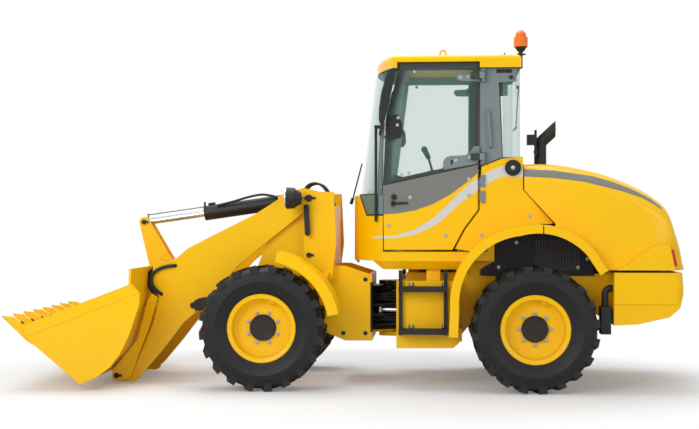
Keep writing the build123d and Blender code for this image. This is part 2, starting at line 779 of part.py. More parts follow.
def cab_plan(z, inset, rear, mode=Mode.ADD):
    """Plan of the cab at height z, drawn in by the inset, with its curved front."""
    half = CAB_HALF_W - inset
    corner = NOSE_SIDE_X - inset / 2
    with BuildSketch(Plane.XY.offset(z)) as plan:
        with BuildLine():
            ThreePointArc((corner, half), (NOSE_X - inset, 0), (corner, -half))
            Line((corner, -half), (rear, -half))
            Line((rear, -half), (rear, half))
            Line((rear, half), (corner, half))
        make_face()
    return plan.sketch


TUB_REAR = -1180
NOSE_REAR = -520
NOSE_WALL = 45
with BuildPart() as cab_base:
    loft([cab_plan(CAB_LOW, 70, TUB_REAR), cab_plan(FLOOR_LOW, 0, TUB_REAR)])
    extrude(cab_plan(FLOOR_LOW, 0, TUB_REAR), amount=DOOR_SILL - 20 - FLOOR_LOW)
    extrude(cab_plan(DOOR_SILL - 20, 0, NOSE_REAR), amount=NOSE_TOP - DOOR_SILL + 20)
    extrude(cab_plan(DOOR_SILL - 20, NOSE_WALL, NOSE_REAR - 1), amount=NOSE_TOP - DOOR_SILL + 21, mode=Mode.SUBTRACT)
    # door apertures
    block(NOSE_REAR - 2, -367, -CAB_HALF_W - 5, CAB_HALF_W + 5, DOOR_SILL - 20, NOSE_TOP + 5, Mode.SUBTRACT)
    # open underside
    block(-1300, -100, -600, 600, CAB_LOW - 5, FLOOR_LOW, Mode.SUBTRACT)
    # rear wall below the window, and mounts down to the frame
    block(-1400, -1340, -640, 640, FLOOR_LOW, 2070 - RUN)
    block(-1400, TUB_REAR + 1, -640, 640, FLOOR_LOW, DOOR_SILL - 20)
    for sign in (1, -1):
        y0, y1 = sorted((sign * 500, sign * 598))
        block(-900, -770, y0, y1, 1000, FLOOR_LOW + 5)
save(cab_base, "cab_base")

# Cab frame: front and rear pillars, header ring and the doors' hinge lugs
HEADER_LOW = 2964
HEADER_TOP = 3030
PILLAR_OUT = 695
PILLAR_T = 55
FRONT_PILLAR_OUT = 645
HINGE_HEIGHTS = (2150, 2900)
HINGE_ARM_H = 30
FRONT_PILLAR_OUTLINE = [
    (-374, DOOR_SILL - 20 + RUN),
    (-434, DOOR_SILL - 20 + RUN),
    (-434, NOSE_TOP),
    (-590, HEADER_TOP),
    (-532, HEADER_TOP),
    (-374, NOSE_TOP),
]
REAR_PILLAR_OUTLINE = [
    (-1268, 2075),
    (-1268, HEADER_TOP),
    (-1600, HEADER_TOP),
    (-1600, 2850),
    (-1440, 2838),
    (-1470, 2146),
    (-1290, 2075),
]
with BuildPart() as cab_frame:
    for sign in (1, -1):
        y = FRONT_PILLAR_OUT if sign > 0 else -FRONT_PILLAR_OUT + PILLAR_T
        plate(FRONT_PILLAR_OUTLINE, y, PILLAR_T)
        y = PILLAR_OUT if sign > 0 else -PILLAR_OUT + PILLAR_T
        plate(REAR_PILLAR_OUTLINE, y, PILLAR_T)
        for z in HINGE_HEIGHTS:
            for low in (z - HINGE_ARM_H - SIDE_GAP - 20, z + HINGE_ARM_H + SIDE_GAP):
                y0, y1 = sorted((sign * (PILLAR_OUT - 1), sign * (DOOR_HINGE[1] + 16)))
                block(DOOR_HINGE[0] - 16, DOOR_HINGE[0] + 14, y0, y1, low, low + 20)
            with Locations((DOOR_HINGE[0], sign * DOOR_HINGE[1], z)):
                Cylinder(9, 2 * (HINGE_ARM_H + SIDE_GAP + 20))
        y0, y1 = sorted((sign * 588, sign * 630))
        block(-1540, -512, y0, y1, HEADER_LOW, HEADER_TOP)
        y0, y1 = sorted((sign * 600, sign * 655))
        block(-1540, -1440, y0, y1, HEADER_LOW, HEADER_TOP)
    block(-590, -534, -FRONT_PILLAR_OUT, FRONT_PILLAR_OUT, HEADER_TOP - 50, HEADER_TOP)
    block(-1600, -1540, -PILLAR_OUT, PILLAR_OUT, HEADER_LOW, HEADER_TOP)
    block(-1600, -1330, -655, 655, 2070, 2150)
save(cab_frame, "cab_frame")

# Roof: a shallow cap that fits over the header ring and the doors' tops
ROOF_LOW = 2970
ROOF_TOP = 3095
ROOF_HALF_W = 735
ROOF_FRONT = -290
ROOF_REAR = -1645
EYE_X = -926
EYE_Y = ROOF_HALF_W - 235
EYE_Z = 3133
EYE_R = 36
EYE_T = 16
EYE_BORE_R = 18
with BuildPart() as cab_roof:
    with BuildSketch(Plane.XY.offset(ROOF_LOW)):
        with BuildLine():
            ThreePointArc((-455, ROOF_HALF_W), (ROOF_FRONT, 0), (-455, -ROOF_HALF_W))
            Line((-455, -ROOF_HALF_W), (ROOF_REAR, -ROOF_HALF_W))
            Line((ROOF_REAR, -ROOF_HALF_W), (ROOF_REAR, ROOF_HALF_W))
            Line((ROOF_REAR, ROOF_HALF_W), (-455, ROOF_HALF_W))
        make_face()
    extrude(amount=ROOF_TOP - ROOF_LOW)
    fillet(cab_roof.faces().sort_by(Axis.Z)[-1].edges(), 48)
    block(-1605, -525, -705, 705, ROOF_LOW - 1, HEADER_TOP + RUN, Mode.SUBTRACT)
    block(-1263, -500, -ROOF_HALF_W - 5, ROOF_HALF_W + 5, ROOF_LOW - 1, HEADER_TOP + RUN, Mode.SUBTRACT)
    # lifting eyes
    for y in (EYE_Y + EYE_T, -EYE_Y):
        bar((EYE_X, ROOF_TOP - 20), (EYE_X, EYE_Z), 2 * EYE_R, y, EYE_T)
        disc((EYE_X, EYE_Z), EYE_BORE_R, y, EYE_T, Mode.SUBTRACT)
save(cab_roof, "cab_roof")

# Windscreen, curved and leaning back, and the rear and corner windows
GLASS_T = 10
SILL_TOP = 2150
REAR_GLASS_X = -1642
REAR_GLASS_Y = 650
REAR_GLASS_R = 80


def glass_band(z, front, edge_x, edge_y):
    """Section of the curved windscreen at height z."""
    with BuildSketch(Plane.XY.offset(z)) as band:
        with BuildLine():
            ThreePointArc((edge_x, edge_y), (front, 0), (edge_x, -edge_y))
            Line((edge_x, -edge_y), (edge_x - GLASS_T, -edge_y))
            ThreePointArc((edge_x - GLASS_T, -edge_y), (front - GLASS_T, 0), (edge_x - GLASS_T, edge_y))
            Line((edge_x - GLASS_T, edge_y), (edge_x, edge_y))
        make_face()
    return band.sketch


with BuildPart() as cab_glass:
    loft([glass_band(NOSE_TOP + RUN, -122, -360, 645), glass_band(ROOF_LOW - RUN, -272, -512, 645)])
    # rear window: a flat pane between two bent corner panes
    with BuildSketch(Plane.XY.offset(SILL_TOP + RUN)) as rear_window:
        with BuildLine() as rear_line:
            FilletPolyline(
                (-1478, REAR_GLASS_Y),
                (REAR_GLASS_X, REAR_GLASS_Y),
                (REAR_GLASS_X, -REAR_GLASS_Y),
                (-1478, -REAR_GLASS_Y),
                radius=REAR_GLASS_R,
            )
            offset(amount=GLASS_T, side=Side.LEFT)
        make_face()
    extrude(rear_window.sketch, amount=ROOF_LOW - SILL_TOP - 2 * RUN)
    block(-1600 - RUN, -1400, -700, 700, 2836, ROOF_LOW + 1, Mode.SUBTRACT)
    for y in (REAR_GLASS_Y - REAR_GLASS_R - 10, -REAR_GLASS_Y + REAR_GLASS_R + 10):
        block(REAR_GLASS_X - 20, REAR_GLASS_X + 20, y - 1, y + 1, SILL_TOP, ROOF_LOW, Mode.SUBTRACT)
save(cab_glass, "cab_glass")

# Doors: a frame with its window cut, and the pane in it
DOOR_OUT = 706
DOOR_T = 50
DOOR_OUTLINE = [
    (-376, DOOR_SILL),
    (-370, 1916),
    (-400, 2534),
    (-530, 3018),
    (-1255, 3018),
    (-1244, 1660),
    (-1117, 1489),
    (-1011, DOOR_SILL),
]
WINDOW_OUTLINE = [
    (-415, 1925),
    (-440, 2534),
    (-562, 2978),
    (-1210, 2978),
    (-1205, 2095),
]
for door_name, sign in (("left", 1), ("right", -1)):
    with BuildPart() as door:
        start = DOOR_OUT if sign > 0 else -DOOR_OUT + DOOR_T
        plate(DOOR_OUTLINE, start, DOOR_T)
        with BuildSketch(side(start)):
            with BuildLine():
                Polyline(*WINDOW_OUTLINE, close=True)
            make_face()
        extrude(amount=DOOR_T, mode=Mode.SUBTRACT)
        # hinge arms out to the hinge line
        for z in HINGE_HEIGHTS:
            y0, y1 = sorted((sign * 710, sign * (DOOR_HINGE[1] + 14)))
            block(DOOR_HINGE[0] - 14, -1180, y0, y1, z - HINGE_ARM_H, z + HINGE_ARM_H)
            y0, y1 = sorted((sign * (DOOR_OUT - 1), sign * 712))
            block(-1250, -1180, y0, y1, z - HINGE_ARM_H, z + HINGE_ARM_H)
            with Locations((DOOR_HINGE[0], sign * DOOR_HINGE[1], z)):
                Cylinder(9 + RUN, 2 * HINGE_ARM_H + 2, mode=Mode.SUBTRACT)
    save(door, f"door_{door_name}")
    with BuildPart() as pane:
        start = DOOR_OUT - 20 if sign > 0 else -DOOR_OUT + 28
        with BuildSketch(side(start)):
            with BuildLine():
                Polyline(*WINDOW_OUTLINE, close=True)
            make_face()
        extrude(amount=8)
    save(pane, f"door_glass_{door_name}")

# Side panels between the doors and the hood, with the front half of the rear wings
WING_OUT = 985
WING_LIP_T = 26
ARCH_FRONT = ((-986, 760), (-1138, 1245), (-1603, 1503))
ARCH_REAR = ((-1603, 1503), (-1990, 1492), (-2278, 1298))
ARCH_ENDS = ((-975, 507), (-2400, 1113))
WING_SPLIT = -1820
PANEL_OUTLINE = [
    (-1278, 2058),
    (-1458, 2128),
    (-1660, 2150),
    (-1660, 1845),
    (-1936, 1540),
    (-1920, 1530),
    (-1815, 1530),
    (-1815, 1505),
    (-1397, 1405),
    (-1195, 1225),
    (-1186, 1275),
    (-1035, 1300),
    (-1130, 1480),
    (-1262, 1655),
]


def wing_band(depth, y, thickness):
    """Arched band of the rear wing with its outer edge on the arch line."""
    with BuildSketch(side(y)) as band:
        with BuildLine():
            Line(ARCH_ENDS[0], ARCH_FRONT[0])
            ThreePointArc(*ARCH_FRONT)
            ThreePointArc(*ARCH_REAR)
            Line(ARCH_REAR[2], ARCH_ENDS[1])
            offset(amount=depth, side=Side.LEFT)
        make_face()
    extrude(band.sketch, amount=thickness)


with BuildPart() as arch_room:
    with BuildSketch(side(1000)) as arch_face:
        with BuildLine():
            Line(ARCH_ENDS[0], ARCH_FRONT[0])
            ThreePointArc(*ARCH_FRONT)
            ThreePointArc(*ARCH_REAR)
            Line(ARCH_REAR[2], ARCH_ENDS[1])
            Polyline(ARCH_ENDS[1], (ARCH_ENDS[1][0], 400), (ARCH_ENDS[0][0], 400), ARCH_ENDS[0])
        make_face()
    with Locations((0, 0, -10)):
        extrude(arch_face.sketch, amount=2000)

with BuildPart() as wing:
    wing_band(20, WING_OUT, WING_OUT - 702)
    wing_band(82, WING_OUT, WING_LIP_T)

with BuildPart() as side_panels:
    add(wing.part)
    block(-2500, WING_SPLIT, 600, 1100, 400, 1600, Mode.SUBTRACT)
    plate(PANEL_OUTLINE, 712, 50)
    mirror(about=Plane.XZ)
    # pads against the cab's rear wall
    for sign in (1, -1):
        y0, y1 = sorted((sign * (640 + RUN), sign * 663))
        block(-1400, -1340, y0, y1, 1700, 1900)
    # rear deck below the back window joins the two sides
    block(-1660, -1620, -699, 699, 1900, 2150)
save(side_panels, "side_panels")

# Hood: hollow shell through a row of stations, with the rear half of the wings
HOOD_STATIONS = [
    # x, half width, top z, shoulder radius
    (-1650, 718, 2090, 170),
    (-1872, 765, 2085, 180),
    (-2058, 800, 2063, 185),
    (-2253, 830, 2023, 190),
    (-2430, 848, 1972, 190),
    (-2607, 858, 1901, 190),
    (-2765, 860, 1820, 185),
    (-2880, 855, 1742, 175),
    (-2960, 840, 1655, 160),
    (-3010, 818, 1540, 140),
    (-3055, 780, 1400, 110),
    (-3095, 725, 1255, 80),
    (-3126, 660, 1150, 36),
]
HOOD_LOW = 1110
HOOD_T = 30
HINGE_LUG_T = 20
POD_OUTLINE = [
    (-2484, 1112),
    (-2611, 1183),
    (-2713, 1269),
    (-2798, 1321),
    (-2883, 1352),
    (-2955, 1352),
    (-3005, 1112),
]
POD_OUT = 915
POD_IN = 715


def hood_section(x, half, top, radius, low, wall):
    """One cross section of the hood with round shoulders, drawn in by the wall."""
    edge = half - wall
    crest = top - wall
    bend = radius * (1 - cos(radians(45)))
    with BuildSketch(Plane.YZ.offset(x)) as section:
        with BuildLine():
            Line((edge, low), (edge, crest - radius))
            ThreePointArc((edge, crest - radius), (edge - bend, crest - bend), (edge - radius, crest))
            Line((edge - radius, crest), (radius - edge, crest))
            ThreePointArc((radius - edge, crest), (bend - edge, crest - bend), (-edge, crest - radius))
            Line((-edge, crest - radius), (-edge, low))
            Line((-edge, low), (edge, low))
        make_face()
    return section.sketch


with BuildPart() as hood_core:
    loft(
        [hood_section(x + (HOOD_T if x < -3000 else 0), *sizes, HOOD_LOW - 40, HOOD_T) for x, *sizes in HOOD_STATIONS]
    )

with BuildPart() as hood:
    loft([hood_section(x, *sizes, HOOD_LOW, 0) for x, *sizes in HOOD_STATIONS])
    add(hood_core.part, mode=Mode.SUBTRACT)
    # seam towards the side panels
    with BuildSketch(side(1000)):
        with BuildLine():
            Polyline(
                (-1600, 2200), (-1670, 2200), (-1670, 1841), (-1951, 1530), (-1951, 1300), (-1600, 1300), close=True
            )
        make_face()
    extrude(amount=2000, mode=Mode.SUBTRACT)
    # the wheel arches, with room for the frame between them
    add(arch_room.part, mode=Mode.SUBTRACT)
    # notch round the exhaust
    block(-1940, -1600, 90, 400, 1800, 2200, Mode.SUBTRACT)
    add(wing.part)
    block(WING_SPLIT - SEAM, -900, 600, 1100, 400, 1600, Mode.SUBTRACT)
    add(wing.part.mirror(Plane.XZ))
    block(WING_SPLIT - SEAM, -900, -1100, -600, 400, 1600, Mode.SUBTRACT)
    # raised pods that hold the tail lamps
    for sign in (1, -1):
        plate(POD_OUTLINE, POD_OUT if sign > 0 else -POD_IN, POD_OUT - POD_IN)
    # notches and lugs at the hinge ears, with the hinge pins
    for y in (-HINGE_EAR_Y, HINGE_EAR_Y):
        gap = HINGE_EAR_T / 2 + SIDE_GAP
        block(-3130, -3066, y - gap, y + gap, 1100, 1152, Mode.SUBTRACT)
        for edge in (y + gap + HINGE_LUG_T, y - gap):
            bar(HOOD_HINGE, (-3088, 1170), 30, edge, HINGE_LUG_T)
        disc(HOOD_HINGE, HOOD_PIN_R, y + gap + HINGE_LUG_T, 2 * (gap + HINGE_LUG_T))
save(hood, "hood")

# Black panels inside the wheel arches
ARCH_PANEL_OUTLINE = [
    (-1280, 1040),
    (-1280, 1100),
    (-1415, 1180),
    (-1415, 1400),
    (-1560, 1540),
    (-2000, 1540),
    (-2200, 1440),
    (-2330, 1240),
    (-2345, 1040),
]
with BuildPart() as arch_panels:
    plate(ARCH_PANEL_OUTLINE, RAIL_OUT + 12, 12 - RUN)
    mirror(about=Plane.XZ)
save(arch_panels, "arch_panels")

# Exhaust stack on the engine
EXHAUST = (-1856, 250)
EXHAUST_R = 58
EXHAUST_WALL = 6
EXHAUST_LOW = 1560 + RUN
EXHAUST_BEND_Z = 2305
EXHAUST_END_X = -1998
EXHAUST_LEAN = (-1, 0, 0.93)
with BuildPart() as exhaust:
    with BuildSketch(Plane.XY.offset(EXHAUST_LOW)):
        with Locations(EXHAUST):
            Circle(EXHAUST_R)
    extrude(amount=EXHAUST_BEND_Z - EXHAUST_LOW)
    with Locations((*EXHAUST, EXHAUST_BEND_Z)):
        Sphere(EXHAUST_R)
    exhaust_top = Plane(origin=(*EXHAUST, EXHAUST_BEND_Z), z_dir=EXHAUST_LEAN)
    with BuildSketch(exhaust_top):
        Circle(EXHAUST_R - 1)
    extrude(amount=280)
    with BuildSketch(exhaust_top.offset(120)):
        Circle(EXHAUST_R - EXHAUST_WALL)
    extrude(amount=200, mode=Mode.SUBTRACT)
    block(-2300, EXHAUST_END_X, 150, 350, 2300, 2700, Mode.SUBTRACT)
save(exhaust, "exhaust_stack")

# Steps: a black ladder frame on each side
STEP_OUT = 850
STEP_X0 = -966
STEP_X1 = -515
with BuildPart() as steps:
    for x0 in (STEP_X0, STEP_X1 - 35):
        block(x0, x0 + 35, TANK_Y1 + RUN, TANK_Y1 + 40, 500, 1100)
    for z in (905, 515):
        block(STEP_X0, STEP_X1, TANK_Y1 + RUN, STEP_OUT, z, z + 45)
    mirror(about=Plane.XZ)
save(steps, "steps")

# Seat, console and steering column on the cab floor
FLOOR = DOOR_SILL - 20 + RUN
with BuildPart() as seat:
    block(-1140, -640, -250, 250, 1620, 1740)
    with BuildSketch(Plane.XZ):
        with BuildLine():
            Polyline((-1240, 1700), (-1110, 1700), (-1150, 2140), (-1255, 2140), close=True)
        make_face()
    extrude(amount=230, both=True)
    block(-1080, -740, -160, 160, FLOOR, 1620)
save(seat, "seat")

with BuildPart() as controls:
    block(-960, -540, -520, -330, FLOOR, 1800)
    with BuildSketch(Plane(origin=(-300, 0, DOOR_SILL + 20), x_dir=(0, 1, 0), z_dir=(-0.35, 0, 0.94))):
        Circle(40)
    extrude(amount=700)
    block(-370, -240, -90, 90, FLOOR, DOOR_SILL + 60)
    with Locations(Location((-548, 0, 1962), (0, -20, 0))):
        Torus(200, 16)
        Box(390, 30, 24)
        Box(30, 390, 24)
save(controls, "controls")

# Beacon on its stalk
BEACON_X = ROOF_REAR - 9
BEACON_Y = ROOF_HALF_W - 235
with BuildPart() as beacon:
    with Locations((BEACON_X, BEACON_Y, 3235)):
        Cylinder(66, 90)
    with Locations((BEACON_X, BEACON_Y, 3300)):
        Sphere(50)
    with Locations((BEACON_X - 6, BEACON_Y, 3110)):
        Cylinder(12, 240)
    block(BEACON_X - 11, ROOF_REAR - RUN, BEACON_Y - 20, BEACON_Y + 20, 2990, 3040)
save(beacon, "beacon")

# Mirrors on grab rails that stand on the nose
RAIL_AT = (-300, 668)
with BuildPart() as mirrors:
    with Locations((RAIL_AT[0], RAIL_AT[1], 2000)):
        Cylinder(13, 900)
    for z in (1600, 1760):
        block(RAIL_AT[0] - 10, RAIL_AT[0] + 10, 649, RAIL_AT[1], z - 10, z + 10)
    with BuildSketch(side(790)):
        with BuildLine():
            Polyline((-330, 2360), (-350, 2330), (-480, 2900), (-460, 2930), close=True)
        make_face()
    extrude(amount=60)
    bar((-300, 2430), (-352, 2430), 26, 760, 100)
    mirror(about=Plane.XZ)
save(mirrors, "mirrors")

# Filler cap on the left side panel
with BuildPart() as filler_cap:
    disc((-1567, 2047), 74, 734, 734 - 712 - RUN)
save(filler_cap, "filler_cap")

# Steering cylinders, level, from the rear frame's neck to the front frame
STEER_LENGTH, STEER_ANGLE = span(STEER_BASE, STEER_EYE)
STEER_BARREL_END = STEER_LENGTH - 190
for ram_name, sign in (("left", 1), ("right", -1)):
    base_point = (STEER_BASE[0], sign * STEER_BASE[1], STEER_Z)
    eye_point = (STEER_EYE[0], sign * STEER_EYE[1], STEER_Z)
    run = (STEER_EYE[0] - STEER_BASE[0], sign * (STEER_EYE[1] - STEER_BASE[1]), 0)
    with BuildPart() as steer_barrel:
        with BuildSketch(Plane(origin=base_point, x_dir=(0, 0, 1), z_dir=run).offset(24)):
            Circle(22)
        extrude(amount=30)
        with BuildSketch(Plane(origin=base_point, x_dir=(0, 0, 1), z_dir=run).offset(44)):
            Circle(38)
        extrude(amount=STEER_BARREL_END - 44)
        with Locations(base_point):
            Cylinder(34, 50)
            Cylinder(STEER_PIN_R + RUN, 60, mode=Mode.SUBTRACT)
        with BuildSketch(Plane(origin=base_point, x_dir=(0, 0, 1), z_dir=run).offset(70)):
            Circle(20 + RUN)
        extrude(amount=STEER_LENGTH, mode=Mode.SUBTRACT)
    save(steer_barrel, f"steer_barrel_{ram_name}")
    with BuildPart() as steer_rod:
        with BuildSketch(Plane(origin=base_point, x_dir=(0, 0, 1), z_dir=run).offset(STEER_BARREL_END - 220)):
            Circle(20)
        extrude(amount=STEER_LENGTH - STEER_BARREL_END + 220 - 25)
        with Locations(eye_point):
            Cylinder(34, 50)
            Cylinder(STEER_PIN_R, 60, mode=Mode.SUBTRACT)
    save(steer_rod, f"steer_rod_{ram_name}")

# Valve block and hoses' manifold in the steering gap
with BuildPart() as valve_block:
    block(-559.7, -470, -150, 150, 600, 830)
save(valve_block, "valve_block")

# Tail lamps in the hood's lower corners
with BuildPart() as tail_lamps:
    plate([(-2997.4, 1150), (-2966.6, 1298), (-2992, 1298), (-3023, 1150)], POD_OUT - 7, 52)
    mirror(about=Plane.XZ)
save(tail_lamps, "tail_lamps")

# Air intake box behind the left rear wheel, with its pipe up to the counterweight
BOX_X0 = -2440
BOX_X1 = -2350
PIPE_X = -2395
PIPE_Y = 790
PIPE_R = 32
PIPE_BEND = 55
PIPE_TOP = 945
with BuildPart() as air_box:
    block(BOX_X0, BOX_X1, 715, 865, 530, 778)
    block(CW_FRONT + RUN, BOX_X0 + 1, 750, 830, 660, 750)
    with BuildSketch(Plane.XY.offset(770)):
        with Locations((PIPE_X, PIPE_Y)):
            Circle(PIPE_R)
    extrude(amount=PIPE_TOP - PIPE_BEND - 770)
    with BuildSketch(Plane.XY.offset(PIPE_TOP - PIPE_BEND)):
        with Locations((PIPE_X, PIPE_Y)):
            Circle(PIPE_R)
    revolve(axis=Axis((PIPE_X - PIPE_BEND, PIPE_Y, PIPE_TOP - PIPE_BEND), (0, -1, 0)), revolution_arc=90)
    with BuildSketch(Plane.YZ.offset(CW_FRONT + RUN)):
        with Locations((PIPE_Y, PIPE_TOP)):
            Circle(PIPE_R)
    extrude(amount=PIPE_X - PIPE_BEND - CW_FRONT - RUN)
save(air_box, "air_box")
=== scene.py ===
"""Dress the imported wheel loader: paint, glass, rubber, fittings, camera and light."""
import logging
from dataclasses import dataclass, field
from enum import Enum
from math import cos, radians, sin
from typing import Callable, Iterable, Sequence

import bmesh
import bpy
from mathutils import Matrix, Vector
from mathutils.bvhtree import BVHTree


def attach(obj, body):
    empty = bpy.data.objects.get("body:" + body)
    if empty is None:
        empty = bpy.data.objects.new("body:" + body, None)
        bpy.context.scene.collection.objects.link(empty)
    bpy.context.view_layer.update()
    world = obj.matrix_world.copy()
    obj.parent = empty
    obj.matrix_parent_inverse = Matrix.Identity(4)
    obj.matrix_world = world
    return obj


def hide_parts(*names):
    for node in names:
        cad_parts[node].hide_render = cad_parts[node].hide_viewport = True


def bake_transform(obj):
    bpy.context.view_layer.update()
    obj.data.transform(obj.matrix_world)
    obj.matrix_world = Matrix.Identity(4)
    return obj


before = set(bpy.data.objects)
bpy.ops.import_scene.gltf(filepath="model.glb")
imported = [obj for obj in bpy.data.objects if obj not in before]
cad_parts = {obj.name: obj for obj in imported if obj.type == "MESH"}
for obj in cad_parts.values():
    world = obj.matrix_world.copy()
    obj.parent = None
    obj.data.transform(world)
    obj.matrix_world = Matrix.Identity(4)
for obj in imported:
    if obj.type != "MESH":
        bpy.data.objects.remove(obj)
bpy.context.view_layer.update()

LOG = logging.getLogger("loader")
Point = Sequence[float]
Colour = tuple[float, float, float]


class Side(Enum):
    """The machine's two sides, with the sign of Y on each."""

    LEFT = 1
    RIGHT = -1


class Body(str, Enum):
    """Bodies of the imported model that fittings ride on."""

    REAR = "rear"
    FRONT = "front"
    BOOM = "boom"
    CRANK = "crank"
    BUCKET = "bucket"
    HOOD = "hood"
    DOOR_LEFT = "door_left"
    DOOR_RIGHT = "door_right"
    TILT_BARREL = "tilt_barrel"
    TILT_ROD = "tilt_rod"


DOOR_BODY = {Side.LEFT: Body.DOOR_LEFT, Side.RIGHT: Body.DOOR_RIGHT}


# Shader helpers


class Graph:
    """A material with its node tree, and one method that adds a node."""

    def __init__(self, name: str) -> None:
        """Start an empty material of that name."""
        self.material = bpy.data.materials.new(name)
        self.material.use_nodes = True
        self.tree = self.material.node_tree
        self.tree.nodes.clear()

    def node(self, kind: str, settings: dict | None = None, sockets: dict | None = None) -> bpy.types.Node:
        """Add a node.

        Args:
            kind: the node's type.
            settings: attributes set first; "stops" are a ramp's (place, colour) pairs.
            sockets: values or links by input name or index.

        Returns:
            The new node.
        """
        node = self.tree.nodes.new(kind)
        for key, value in (settings or {}).items():
            if key == "stops":
                ramp = node.color_ramp
                while len(ramp.elements) < len(value):
                    ramp.elements.new(0.5)
                for element, (place, colour) in zip(ramp.elements, value):
                    element.position = place
                    element.color = (*colour, 1.0) if isinstance(colour, tuple) else (colour, colour, colour, 1.0)
            else:
                setattr(node, key, value)
        for key, value in (sockets or {}).items():
            socket = value.socket if isinstance(value, Signal) else value
            if isinstance(socket, bpy.types.NodeSocket):
                self.tree.links.new(socket, node.inputs[key])
            elif isinstance(socket, tuple) and len(socket) == 3 and node.inputs[key].type == "RGBA":
                node.inputs[key].default_value = (*socket, 1.0)
            else:
                node.inputs[key].default_value = socket
        return node

    def place(self) -> tuple["Signal", "Signal", "Signal"]:
        """The shaded point's X, Y and Z in the row frame."""
        coordinates = self.node("ShaderNodeTexCoord")
        split = self.node("ShaderNodeSeparateXYZ", sockets={0: coordinates.outputs["Object"]})
        return tuple(Signal(self, output) for output in split.outputs)

    def noise(self, scale: float, detail: float = 3.0, stretch: Point = (1, 1, 1)) -> "Signal":
        """Noise from 0 to 1 on object coordinates."""
        coordinates = self.node("ShaderNodeTexCoord")
        mapping = self.node("ShaderNodeMapping", sockets={0: coordinates.outputs["Object"], "Scale": tuple(stretch)})
        sockets = {"Vector": mapping.outputs[0], "Scale": scale, "Detail": detail}
        noise = self.node("ShaderNodeTexNoise", sockets=sockets)
        return Signal(self, noise.outputs["Fac"])

    def curve(self, value: "Signal", points: Sequence[Point]) -> "Signal":
        """A broken line through the points as a function of the value.

        Args:
            value: what the points' first column measures.
            points: (value, result) pairs in any order.

        Returns:
            The result along the line.
        """
        rows = sorted(points)
        low, high = rows[0][0], rows[-1][0]
        floor = min(z for _, z in rows)
        height = max(z for _, z in rows) - floor or 1.0
        stops = [((x - low) / (high - low), (z - floor) / height) for x, z in rows]
        ramp = self.node("ShaderNodeValToRGB", {"stops": stops}, {0: (value - low) / (high - low)})
        return Signal(self, ramp.outputs[0]) * height + floor

    def mix(self, factor: "Signal | float", first: object, second: object) -> bpy.types.NodeSocket:
        """Mix two colours, given as sockets or as plain colours."""
        node = self.node("ShaderNodeMix", {"data_type": "RGBA"}, {0: factor, 6: first, 7: second})
        return node.outputs[2]

    def bump(
        self, height: "Signal", distance: float, strength: float = 1.0, edge: float = 0.0
    ) -> bpy.types.NodeSocket:
        """Normal with that relief in metres, and with edges rounded for light by the edge radius."""
        sockets = {"Height": height, "Distance": distance, "Strength": strength}
        if edge:
            sockets["Normal"] = self.node("ShaderNodeBevel", {"samples": 4}, {"Radius": edge}).outputs[0]
        return self.node("ShaderNodeBump", None, sockets).outputs[0]

    def surface(self, **sockets: object) -> bpy.types.Material:
        """Close the material with a Principled shader.

        Args:
            **sockets: shader inputs, with spaces as underscores.

        Returns:
            The finished material.
        """
        named = {key.replace("_", " "): value for key, value in sockets.items()}
        shader = self.node("ShaderNodeBsdfPrincipled", None, named)
        self.node("ShaderNodeOutputMaterial", None, {0: shader.outputs[0]})
        return self.material


class Signal:
    """A number in a shader graph that takes part in Python expressions."""

    def __init__(self, graph: Graph, socket: bpy.types.NodeSocket) -> None:
        """Wrap the socket."""
        self.graph = graph
        self.socket = socket

    def _maths(self, operation: str, *values: object) -> "Signal":
        """Add a Math node on the values."""
        node = self.graph.node("ShaderNodeMath", {"operation": operation}, dict(enumerate(values)))
        return Signal(self.graph, node.outputs[0])

    def __add__(self, other: object) -> "Signal":
        """Sum."""
        return self._maths("ADD", self, other)

    def __sub__(self, other: object) -> "Signal":
        """Difference."""
        return self._maths("SUBTRACT", self, other)

    def __rsub__(self, other: object) -> "Signal":
        """Reflected difference."""
        return self._maths("SUBTRACT", other, self)

    def __mul__(self, other: object) -> "Signal":
        """Product."""
        return self._maths("MULTIPLY", self, other)

    def __truediv__(self, other: object) -> "Signal":
        """Quotient."""
        return self._maths("DIVIDE", self, other)

    def __pow__(self, other: object) -> "Signal":
        """Power."""
        return self._maths("POWER", self, other)

    def __gt__(self, other: object) -> "Signal":
        """1 where this is greater."""
        return self._maths("GREATER_THAN", self, other)

    def __lt__(self, other: object) -> "Signal":
        """1 where this is less."""
        return self._maths("LESS_THAN", self, other)

    def __abs__(self) -> "Signal":
        """Size without its sign."""
        return self._maths("ABSOLUTE", self)

    def wave(self) -> "Signal":
        """Sine."""
        return self._maths("SINE", self)

    def step(self, low: float, high: float) -> "Signal":
        """Smooth step from 0 at low to 1 at high."""
        node = self.graph.node(
            "ShaderNodeMapRange", {"interpolation_type": "SMOOTHSTEP"}, {0: self, 1: low, 2: high, 3: 0.0, 4: 1.0}
        )
        return Signal(self.graph, node.outputs[0])


def radius_about(x: Signal, z: Signal, centre: Point) -> Signal:
    """Distance from an axle line along Y."""
    return ((x - centre[0]) * (x - centre[0]) + (z - centre[1]) * (z - centre[1])) ** 0.5


# Finishes

YELLOW: Colour = (1.0, 0.565, 0.001)
SILVER: Colour = (0.66, 0.65, 0.62)
STRIPE_GREY: Colour = (0.22, 0.215, 0.19)
PANEL_GREY: Colour = (0.2, 0.205, 0.185)
PILLAR_GREY: Colour = (0.21, 0.25, 0.26)
SEAL_GREY: Colour = (0.04, 0.05, 0.046)
PANE_GREEN: Colour = (0.13, 0.21, 0.17)
BLACK: Colour = (0.009, 0.009, 0.0095)
DUST: Colour = (0.33, 0.25, 0.15)
LINING: Colour = (0.018, 0.018, 0.018)
HUB_CAP: Colour = (0.014, 0.014, 0.0145)

